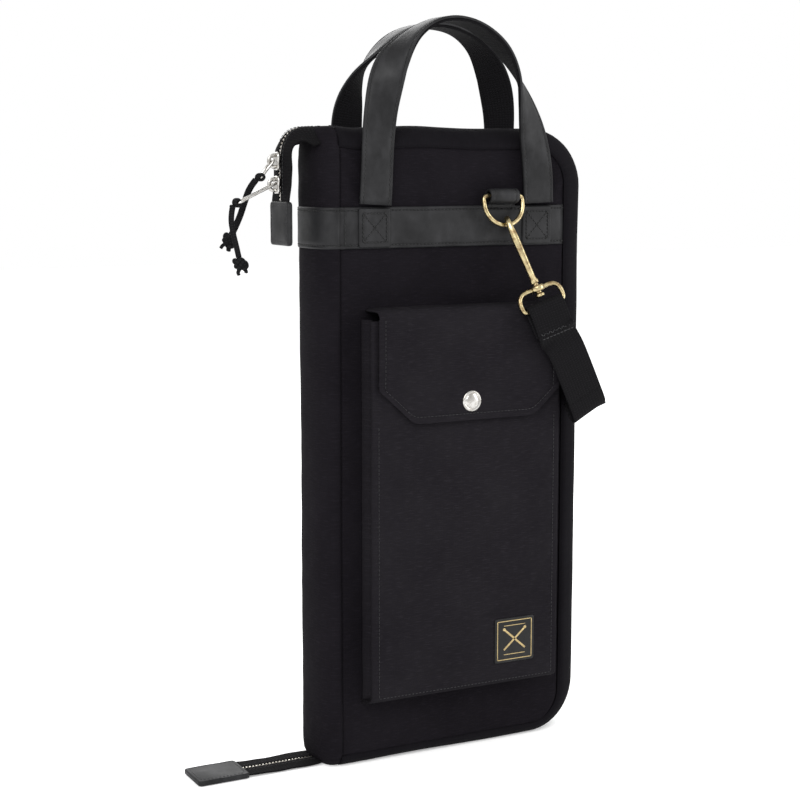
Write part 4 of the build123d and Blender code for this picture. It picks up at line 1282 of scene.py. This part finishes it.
def make_label():
    """Leather patch with a stamped border and two crossed sticks."""
    rings = [(0, 0), (0, 0.45), (0.25, 0.7), (0.8, 0.8), (1.6, 0.8), (2.0, 0.8), (3.4, 0.8)]
    pocket_face = -48.9
    patch = plate("label_patch", (LABEL_X, pocket_face, LABEL_Z), (1, 0, 0), UP, 17.5, 17.5, 1.2, rings,
                  "label", 0.0, 2.0, 0.05)
    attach(patch, "front_cover")
    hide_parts("pocket_label")
    lines = []
    y = pocket_face - 0.80
    half = 15.2
    frame_line = [(-half, -half), (half, -half), (half, half), (-half, half)]
    for (a, b), (c, d) in zip(frame_line, frame_line[1:] + frame_line[:1]):
        lines.append(((a, b), (c, d), 0.32))
    lines += [((-9.5, -7.5), (9.0, 8.5), 0.75), ((9.5, -7.5), (-9.0, 8.5), 0.75),
              ((-9.5, -11.2), (9.5, -11.2), 0.28), ((-9.5, 11.6), (9.5, 11.6), 0.28)]
    parts = []
    for (a, b), (c, d), wide in lines:
        path = resample(np.array([(LABEL_X + a, y, LABEL_Z + b), (LABEL_X + c, y, LABEL_Z + d)]), 3.0)
        across = unit(np.cross(unit(path[-1] - path[0]), FORWARD))
        parts.append(swept("foil", path, np.tile(across, (len(path), 1)),
                           strap_profile(2 * wide, 0.12, 0.05), "gold"))
    for x, z in ((9.3, 8.8), (-9.3, 8.8)):
        parts.append(lathe("foil_tip", (LABEL_X + x, y + 0.05, LABEL_Z + z),
                           [(1.25, 0), (1.2, 0.08), (0.9, 0.12), (0.1, 0.12)], "gold", sides=20))
    foil = joined("label_foil", parts)
    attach(foil, "front_cover")


# ---------------------------------------------------------------- stick sleeves inside
def make_sleeves():
    """Four stick channels of one pleated sheet, sewn down between them and at the bottom."""
    count, low, left, right = 4, 22.0, -88.0, 96.0
    us = np.linspace(0, 1, 4 * 18 + 1)
    zs = np.concatenate([np.array([22, 23, 25, 28, 33, 40.0]), np.linspace(50, 292, 60),
                         [295, 297, 298.5, 300]])
    grid = np.empty((len(us), len(zs), 3))
    for i, u in enumerate(us):
        t = (u * count) % 1.0
        bulge = (4 * t * (1 - t)) ** 0.42 if 0 < t < 1 else 0.0
        for j, z in enumerate(zs):
            start = np.clip((z - low) / 20, 0, 1) ** 0.6
            hem = 0.7 * (z > 290)
            y = 19.9 - 12.6 * bulge * start - hem * bulge + 0.4 * wobble(u * 200, 0, z, 26, 5) * bulge
            grid[i, j] = (left + u * (right - left), y, z)
    made = cloth("sleeve_channels", grid, "lining", 1.3, flip=False)
    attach(made, "root")
    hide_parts("stick_sleeves")
    rows = [[(left + (right - left) * k / count, 19.7, z) for z in (26, 296)] for k in (1, 2, 3)]
    sewn = stitches("sleeve_stitches", rows, [FORWARD] * 3, 4.0)
    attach(sewn, "root")


# ---------------------------------------------------------------- zip tails
TOP_TAIL = [(-99.0, 478.2), (-106, 478.9), (-114, 478.9), (-121, 478.0), (-127.5, 474.6), (-131.8, 468.0),
            (-133.8, 459.5), (-134.1, 450), (-134.0, 438), (-133.8, 424)]
LOW_TAIL = [(-99.0, 1.9), (-110, 1.9), (-122, 2.0), (-136, 2.0), (-150, 2.0), (-162, 2.0), (-173, 2.2)]


def tail_frame(points, per=7):
    line = catmull([(x, 0.0, z) for x, z in points], per)
    along = unit(np.gradient(line, axis=0))
    out = np.stack([along[:, 2], np.zeros(len(line)), -along[:, 0]], axis=-1)
    return line, out


def tail_cloth(name, points, sign, curl, wave, arch=0.0):
    """One half of a tail's tape: it widens from the zip, and its free edge curls."""
    line, out = tail_frame(points)
    run = running(line)
    reach = np.array([1.7, 2.4, 3.4, 5.0, 6.6, 8.2, 9.8, 11.4, 13.0, 14.2, 14.8])
    grid = np.empty((len(line), len(reach), 3))
    for i in range(len(line)):
        grown = 0.62 + 0.38 * ease(run[i], 0, 16)
        near = (1 - ease(run[i], 16, 44)) if arch else 0.0
        grown = max(grown, 1.0 * arch) + 0.3 * near
        middle = ease(run[i], 4, 22) * (1 - ease(run[i], run[-1] - 16, run[-1]))
        for j, r in enumerate(reach):
            share = (r - 1.7) / 13.1
            fall = curl * middle * share ** 2 + arch * 11.0 * near * ease(run[i], 0, 10) * share ** 1.6
            rise = wave * middle * share * wobble(line[i, 0], sign * r, line[i, 2], 17, 3 + sign)
            place = line[i] + out[i] * (rise - fall)
            grid[i, j] = place + np.array([0, sign * r * (grown if r > 2.5 else 1), 0])
            grid[i, j, 2] = max(grid[i, j, 2], 0.7)
    return cloth(name, grid, "tape", 1.2, flip=sign < 0)


def make_tail(side, points, curl, wave):
    """Both halves of a tail with its closed teeth, and the lines that are sewn along it."""
    arch = 1.0 if side == "top" else 0.0
    tapes = [tail_cloth(side + "_tail_cloth", points, s, curl, wave, arch) for s in (-1, 1)]
    tape = joined(side + "_tail_cloth", tapes)
    line, out = tail_frame(points, 12)
    rows = [teeth("row", (line, out), s, 0.0 if s < 0 else 0.5) for s in (-1, 1)]
    chain = joined(side + "_tail_chain", rows)
    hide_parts(side + "_tail_tape")
    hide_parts(side + "_tail_teeth")
    for made in (tape, chain):
        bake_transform(made)
    seams = []
    for s in (-1, 1):
        seams.append([line[i] + out[i] * 1.0 + np.array([0, s * 5.6 * (0.75 + 0.25 * ease(i, 0, 20)), 0])
                      for i in range(4, len(line) - 6, 2)])
    return line, out, seams


TAB_RINGS = [(0, 0), (0.0, 1.0), (0.3, 1.6), (0.9, 1.95), (1.7, 2.1), (2.7, 2.0), (4.2, 2.3), (7.0, 2.4),
             (11.0, 2.4)]


def make_tab(name, centre, u, v, half_u, half_v, body, node):
    n = np.cross(np.array(u, float), np.array(v, float))
    faces = [plate("tab", centre, direction, v, half_u, half_v, 2.6, TAB_RINGS, "leather", 0.0, seed)
             for direction, seed in ((u, 1.0), (tuple(-c for c in u), 2.0))]
    tab = joined(name, faces)
    rows = []
    for side in (1, -1):
        loop = []
        a, b, r = half_u - 2.7, half_v - 2.7, 3.2
        for cx, cy, turn in ((a - r, b - r, 0), (r - a, b - r, 1), (r - a, r - b, 2), (a - r, r - b, 3)):
            for q in np.linspace(0, np.pi / 2, 5):
                x, y = cx + r * np.cos(q + turn * np.pi / 2), cy + r * np.sin(q + turn * np.pi / 2)
                loop.append(np.array(centre) + np.array(u) * x + np.array(v) * y + n * side * 1.95)
        rows.append((loop + loop[:1], n * side))
    sewn = stitches(name + "_stitches", [r for r, _ in rows], [k for _, k in rows], 3.0, 0.6, 0.15)
    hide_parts(node)
    for made in (tab, sewn):
        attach(made, body)


# ---------------------------------------------------------------- sliders, pull cords and knots
CHAIN_X = -134.0
UPPER_SLIDER, LOWER_SLIDER = 455.0, 438.0
PULLER_PIVOT_X = -140.8


def make_slider(name, z, body, node):
    """Cast slider: two waisted plates round the chain, a raised rim, and a bail for the puller."""
    x0 = CHAIN_X
    parts = []
    for side in (-1, 1):
        outline = []
        for t in np.linspace(0, 2 * np.pi, 41)[:-1]:
            c, s = np.cos(t), np.sin(t)
            y = 5.0 * np.sign(c) * abs(c) ** 0.6
            h = 6.5 * np.sign(s) * abs(s) ** 0.6
            y *= 1 - 0.16 * np.exp(-((h + 1.0) / 2.2) ** 2) + 0.04 * (h > 3)
            outline.append((y, h))
        points, faces = [], []
        levels = [(1.0, 2.5), (1.0, 3.6), (0.94, 4.3), (0.84, 4.65), (0.78, 4.45), (0.4, 4.3)]
        for scale, out in levels:
            points += [(x0 + side * out, y * scale, z + h * scale) for y, h in outline]
        count = len(outline)
        for k in range(len(levels) - 1):
            for j in range(count):
                p, q = k * count + j, k * count + (j + 1) % count
                quad = (p, q, q + count, p + count)
                faces.append(quad if side > 0 else quad[::-1])
        last = (len(levels) - 1) * count
        top, low = tuple(range(last, last + count)), tuple(range(count - 1, -1, -1))
        faces += [top, low] if side > 0 else [top[::-1], low[::-1]]
        parts.append(piece("plate", points, faces, "nickel"))
    bail = [(x0 - 4.2, 0, z + 4.2), (x0 - 6.6, 0, z + 4.0), (x0 - 8.6, 0, z + 2.6), (x0 - 9.3, 0, z),
            (x0 - 8.6, 0, z - 2.6), (x0 - 6.6, 0, z - 4.0), (x0 - 4.2, 0, z - 4.2)]
    parts.append(tube("bail", catmull(bail, 5), 0.95, "nickel", 10, flat=1.5))
    post = [(x0 - 3, 0, z), (x0 + 3, 0, z)]
    parts.append(tube("post", resample(np.array(post, float), 1.0), 0.8, "nickel", 10))
    made = joined(name, parts)
    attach(made, body)
    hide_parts(node)


def make_puller(name, z, tip, body, node):
    """Bent wire puller with a rounded far end, a little waisted."""
    pivot = np.array([PULLER_PIVOT_X, 0, z])
    tip = np.array(tip, float)
    reach = tip - pivot
    side = np.array([0, 1.0, 0])
    plan = [(0, -0.9), (1.9, -0.6), (2.75, 0.6), (2.7, 0.25 * 12), (2.3, 0.5 * 12), (2.75, 0.85 * 12),
            (2.2, 0.97 * 12), (0, 12)]
    scale = np.linalg.norm(reach) / 12
    along = unit(reach)
    half = [(w, h * scale) for w, h in plan]
    whole = half + [(-w, h) for w, h in half[-2:0:-1]]
    whole = np.array([pivot + side * w + along * h for w, h in whole + whole[:1]])
    made = tube(name, catmull(whole, 6)[:-1], 0.9, "nickel", 10, closed=True)
    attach(made, body)
    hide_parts(node)


UPPER_CORD = [(-152.9, 2.2, 441.4), (-155.6, 7.4, 436.0), (-158.4, 10.0, 426.0), (-162.6, 11.0, 413.0),
              (-168.6, 11.0, 402.0)]
LOWER_CORD = [(-171.9, 0, 422.4), (-174.2, -1.6, 415.0), (-173.6, -4.0, 404.5), (-171.2, -5.4, 393.0),
              (-170.0, -6.0, 386.5)]
UPPER_TIP = (-150.5, 0, 443.2)
LOWER_TIP = (-168.5, 0, 425.0)


def cord_line(points):
    """Centre line through route points, read from a spline."""
    data = bpy.data.curves.new("route", "CURVE")
    data.dimensions = "3D"
    data.resolution_u = 24
    spline = data.splines.new("NURBS")
    spline.points.add(len(points) - 1)
    for place, p in zip(spline.points, points):
        place.co = (*(c * MM for c in p), 1.0)
    spline.order_u = 3
    spline.use_endpoint_u = True
    carrier = bpy.data.objects.new("route", data)
    bpy.context.scene.collection.objects.link(carrier)
    line = bpy.data.meshes.new_from_object(carrier)
    out = np.array([v.co for v in line.vertices]) / MM
    bpy.data.objects.remove(carrier)
    bpy.data.meshes.remove(line)
    return resample(out, 1.2)


def strands(radius, turn):
    """Section of two flat strands side by side."""
    angles = np.linspace(0, 2 * np.pi, 28, endpoint=False)
    reach = radius * (0.60 + 0.40 * np.abs(np.cos(angles)) ** 0.8)
    x, y = reach * np.cos(angles), 0.95 * reach * np.sin(angles)
    return np.stack([x * np.cos(turn) - y * np.sin(turn), x * np.sin(turn) + y * np.cos(turn)], axis=-1)


def make_cord(name, points, tip, body, nodes, seed):
    line = cord_line(points)
    cord = swept(name + "_strands", line, frames_along(line), strands(2.4, 0.5 + seed), "cord")
    knot = make_knot(name + "_knot", line[-1], unit(line[-1] - line[-3]), seed)
    hitch = make_hitch(name + "_hitch", np.array(tip, float), unit(line[2] - line[0]), line[0])
    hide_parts(nodes[0])
    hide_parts(nodes[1])
    for made in (cord, knot, hitch):
        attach(made, body)


def make_hitch(name, tip, along, start):
    """Lark's head of the cord round the puller's end."""
    parts = []
    for y in (-1.5, 1.5):
        centre = tip - along * 0.4
        turn = unit(np.cross(along, (0, 1, 0)))
        ring = [centre + np.array([0, y + 0.5 * np.sin(a), 0]) + 2.3 * np.cos(a) * along
                + 2.3 * np.sin(a) * turn for a in np.linspace(0, 2 * np.pi, 18, endpoint=False)]
        parts.append(tube("turn", ring, 1.25, "cord", 10, closed=True))
    bridge = [start - along * 0.6 + np.array([0, y, 0]) for y in np.linspace(-2.9, 2.9, 9)]
    bridge = [p + along * 1.2 * (1 - (k - 4) ** 2 / 16) for k, p in enumerate(bridge)]
    parts.append(tube("bridge", bridge, 1.35, "cord", 10))
    return joined(name, parts)


def make_knot(name, top, along, seed):
    """Overhand knot of the doubled cord, with two cut ends below it."""
    side = unit(np.cross(along, (0.2, 1.0, 0.2)))
    other = np.cross(along, side)
    parts = []
    centre = top + along * 4.8
    for shift in (-1.0, 1.0):
        loop = []
        for t in np.linspace(0, 2 * np.pi, 72, endpoint=False):
            r = 2.5 + 1.1 * np.cos(3 * t)
            loop.append(centre + side * (r * np.cos(2 * t) + shift * 0.8) + other * r * np.sin(2 * t)
                        + along * (2.4 * np.sin(3 * t) + shift * 1.1))
        parts.append(tube("wrap", loop, 1.55, "cord", 12, closed=True))
    for sign in (-1, 1):
        end = [centre + along * 1.5 + side * sign * 0.8, centre + along * 4 + side * sign * 1.9,
               centre + along * 5.6 + side * sign * (2.4 + 0.4 * seed) + other * sign * 0.6,
               centre + along * (6.9 - 0.4 * sign) + side * sign * 2.6 + other * sign * 1.2]
        parts.append(tube("end", catmull(end, 6), 1.75, "cord", 12, flat=0.75))
    made = joined(name, parts)
    return made


# ---------------------------------------------------------------- hook and eye
HOOK_TURN = np.radians(31)
TOWARD = np.array([np.sin(HOOK_TURN), np.cos(HOOK_TURN), 0.0])
TO_BAG = unit(TOWARD - HOOK_UP * TOWARD.dot(HOOK_UP))
HOOK_SIDE = np.cross(TO_BAG, HOOK_UP)


def mirrored(obj):
    """Turn an object's mesh into its mirror image on the back of the bag."""
    for v in obj.data.vertices:
        v.co.y = -v.co.y
        v.co.x += BACK_SHIFT * MM
    obj.data.flip_normals()


BAR_SIDES = 20


def tapered_bar(name, points, widths, finish):
    """Cast bar: an oval section of (half width, half depth) that changes along the path."""
    path = catmull(points, 8)
    sizes = catmull(widths, 8)
    along = unit(np.gradient(path, axis=0))
    rings = []
    for p, t, (wide, deep) in zip(path, along, sizes):
        across = unit(HOOK_SIDE - t * HOOK_SIDE.dot(t))
        out = np.cross(t, across)
        for a in np.linspace(0, 2 * np.pi, BAR_SIDES, endpoint=False):
            c, s = np.cos(a), np.sin(a)
            rings.append(p + across * wide * np.sign(c) * abs(c) ** 0.75
                         + out * deep * np.sign(s) * abs(s) ** 0.75)
    faces = wall(len(path), BAR_SIDES) + end_faces(len(path), BAR_SIDES)
    return piece(name, rings, faces, finish)


def at_hook(x, level):
    return BEND + TO_BAG * x + HOOK_UP * level


def make_hook(side, body, gate_body, eye_body):
    """Snap hook: one slim bar from the bend to the swivel, a spring gate, and the strap's eye."""
    bar = [at_hook(x, z) for x, z in ((7.2, -2.9), (7.25, 0.5), (5.6, 5.0), (0.6, 7.5), (-4.6, 5.6),
                                      (-7.1, 0.5), (-7.3, -8), (-6.6, -20), (-4.4, -32), (-1.4, -41),
                                      (0, -45.3))]
    widths = [(1.9, 1.8), (2.0, 1.9), (2.1, 2.0), (2.2, 2.0), (2.2, 2.0), (2.3, 2.1), (2.8, 2.4),
              (2.7, 2.7), (2.5, 2.8), (2.4, 2.6), (2.4, 2.4)]
    parts = [tapered_bar("bar", bar, widths, "brass")]
    lug = [at_hook(x, z) for x, z in ((-4.5, -22.5), (0, -26.0), (3.0, -27.0), (6.6, -26.4))]
    parts.append(tapered_bar("lug", lug, [(2.3, 4.4), (2.2, 4.8), (2.1, 3.6), (1.2, 1.8)], "brass"))
    block = [at_hook(0, -42.0), at_hook(0, -43.5), at_hook(0, -45.6)]
    parts.append(tapered_bar("block", block, [(2.7, 2.7), (3.2, 3.2), (3.2, 3.2)], "brass"))
    pin = [at_hook(0, -45), at_hook(0, -54.2)]
    parts.append(tube("pin", resample(np.array(pin), 1.5), 2.2, "brass", 16))
    head = [(2.2, 0), (3.4, 0.1), (3.6, 0.5), (3.6, 1.8), (3.3, 2.3), (2.2, 2.45), (0.2, 2.5)]
    parts.append(lathe("head", at_hook(0, -54.2), head, "brass", tuple(-HOOK_UP), 24))
    hook = joined(side + "_hook", parts)
    gate = [at_hook(x, z) for x, z in ((7.3, -5.3), (7.3, -12), (7.5, -19), (7.2, -26), (6.4, -28.2))]
    lever_widths = [(1.5, 1.4), (1.5, 1.4), (1.6, 1.5), (1.8, 1.9), (1.5, 1.2)]
    # the gate takes the darker brass, which is painted shade
    lever = tapered_bar(side + "_gate", gate, lever_widths, "gate")
    eye = make_eye(side)
    names = ("hook_body", "hook_gate", "strap_eye")
    for made, node, rides in zip((hook, lever, eye), names, (body, gate_body, eye_body)):
        if side == "back":
            mirrored(made)
            node = "back_" + node
        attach(made, rides)
        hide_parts(node)


def make_eye(side):
    """Staple-shaped eye for the webbing, with round shoulders, and the oval collar round the pin."""
    top = BEND - HOOK_UP * 50.0
    plan = [(0, 0), (6, 0), (10, 0.1), (14.0, -0.6), (17.2, -3.0), (18.6, -6.8), (18.6, -10.6),
            (17.6, -13.2), (14.8, -14.0), (7, -14)]
    plan = plan + [(0, -14)] + [(-x, z) for x, z in plan[:0:-1]]
    loop = [top + ACROSS * x + HOOK_UP * z for x, z in plan]
    parts = [tube("wire", catmull(loop + loop[:1], 6)[:-1], 1.7, "brass", 14, closed=True)]
    collar = [(2.5, -2.4), (4.6, -2.35), (5.4, -1.9), (5.75, -0.9), (5.85, 0), (5.75, 0.9), (5.4, 1.9),
              (4.6, 2.35), (2.5, 2.4)]
    parts.append(lathe("collar", top, collar, "brass", tuple(HOOK_UP), 36))
    made = joined(side + "_eye", parts)
    return made


# ---------------------------------------------------------------- metal carried over from the frame
CARRIED = {
    "brass": ["front_ring", "back_ring", "strap_adjuster"],
    "nickel": ["snap_stud", "snap_socket"],
}


def dress_frame():
    for finish, nodes in CARRIED.items():
        for name in nodes:
            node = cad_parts[name]
            node.data.materials.clear()
            node.data.materials.append(MAT[finish])


# ---------------------------------------------------------------- the whole object
def main():
    add_camera()
    make_cord("upper_cord", UPPER_CORD, UPPER_TIP, "upper_puller",
              ("upper_pull_cord", "upper_cord_knot"), 0.3)
    make_cord("lower_cord", LOWER_CORD, LOWER_TIP, "lower_puller",
              ("lower_pull_cord", "lower_cord_knot"), 1.1)
    add_studio()
    make_cover("front", "front_cover", 0.0)
    make_cover("back", "root", 20.0)
    make_spine()
    make_bands()
    make_feet("front", (-72.5, 66.5), "front_cover")
    make_feet("back", (-67.5, 67.0), "root")
    make_handle("front", FRONT_HANDLE, 1.0, "front_handle")
    make_handle("back", BACK_HANDLE, -1.0, "back_handle")
    ring_loop("front_keeper", 33.6, -1, "front_cover", "front_ring_loop")
    ring_loop("back_keeper", -34.0, 1, "root", "back_ring_loop")
    make_hook("front", "hook", "hook_gate", "front_ring")
    make_hook("back", "back_hook", "back_hook_gate", "back_ring")
    make_strap()
    make_hank()
    make_far_end()
    make_pocket()
    make_flap()
    make_snap()
    make_label()
    make_sleeves()
    for side, points, body, curl, wave in (("top", TOP_TAIL, "top_tail", 2.2, 1.0),
                                           ("bottom", LOW_TAIL, "bottom_tail", 0.6, 0.9)):
        line, out, seams = make_tail(side, points, curl, wave)
        sewn = stitches(side + "_tail_stitches", seams, [out, out], 3.0, 0.45, 0.2)
        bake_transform(sewn)
    make_tab("top_tab", (-134.0, 0, 410.0), (0, 1, 0), (0, 0, 1), 16.5, 15.9, "top_tail", "top_tail_tab")
    make_tab("low_tab", (-190.6, 0, 2.5), (1, 0, 0), (0, 1, 0), 20.3, 16.5, "bottom_tail", "bottom_tail_tab")
    make_slider("upper_slider_cast", UPPER_SLIDER, "upper_slider", "upper_slider")
    make_slider("lower_slider_cast", LOWER_SLIDER, "lower_slider", "lower_slider")
    make_puller("upper_wire", UPPER_SLIDER, UPPER_TIP, "upper_puller", "upper_puller")
    make_puller("lower_wire", LOWER_SLIDER, LOWER_TIP, "lower_puller", "lower_puller")
    dress_frame()


main()
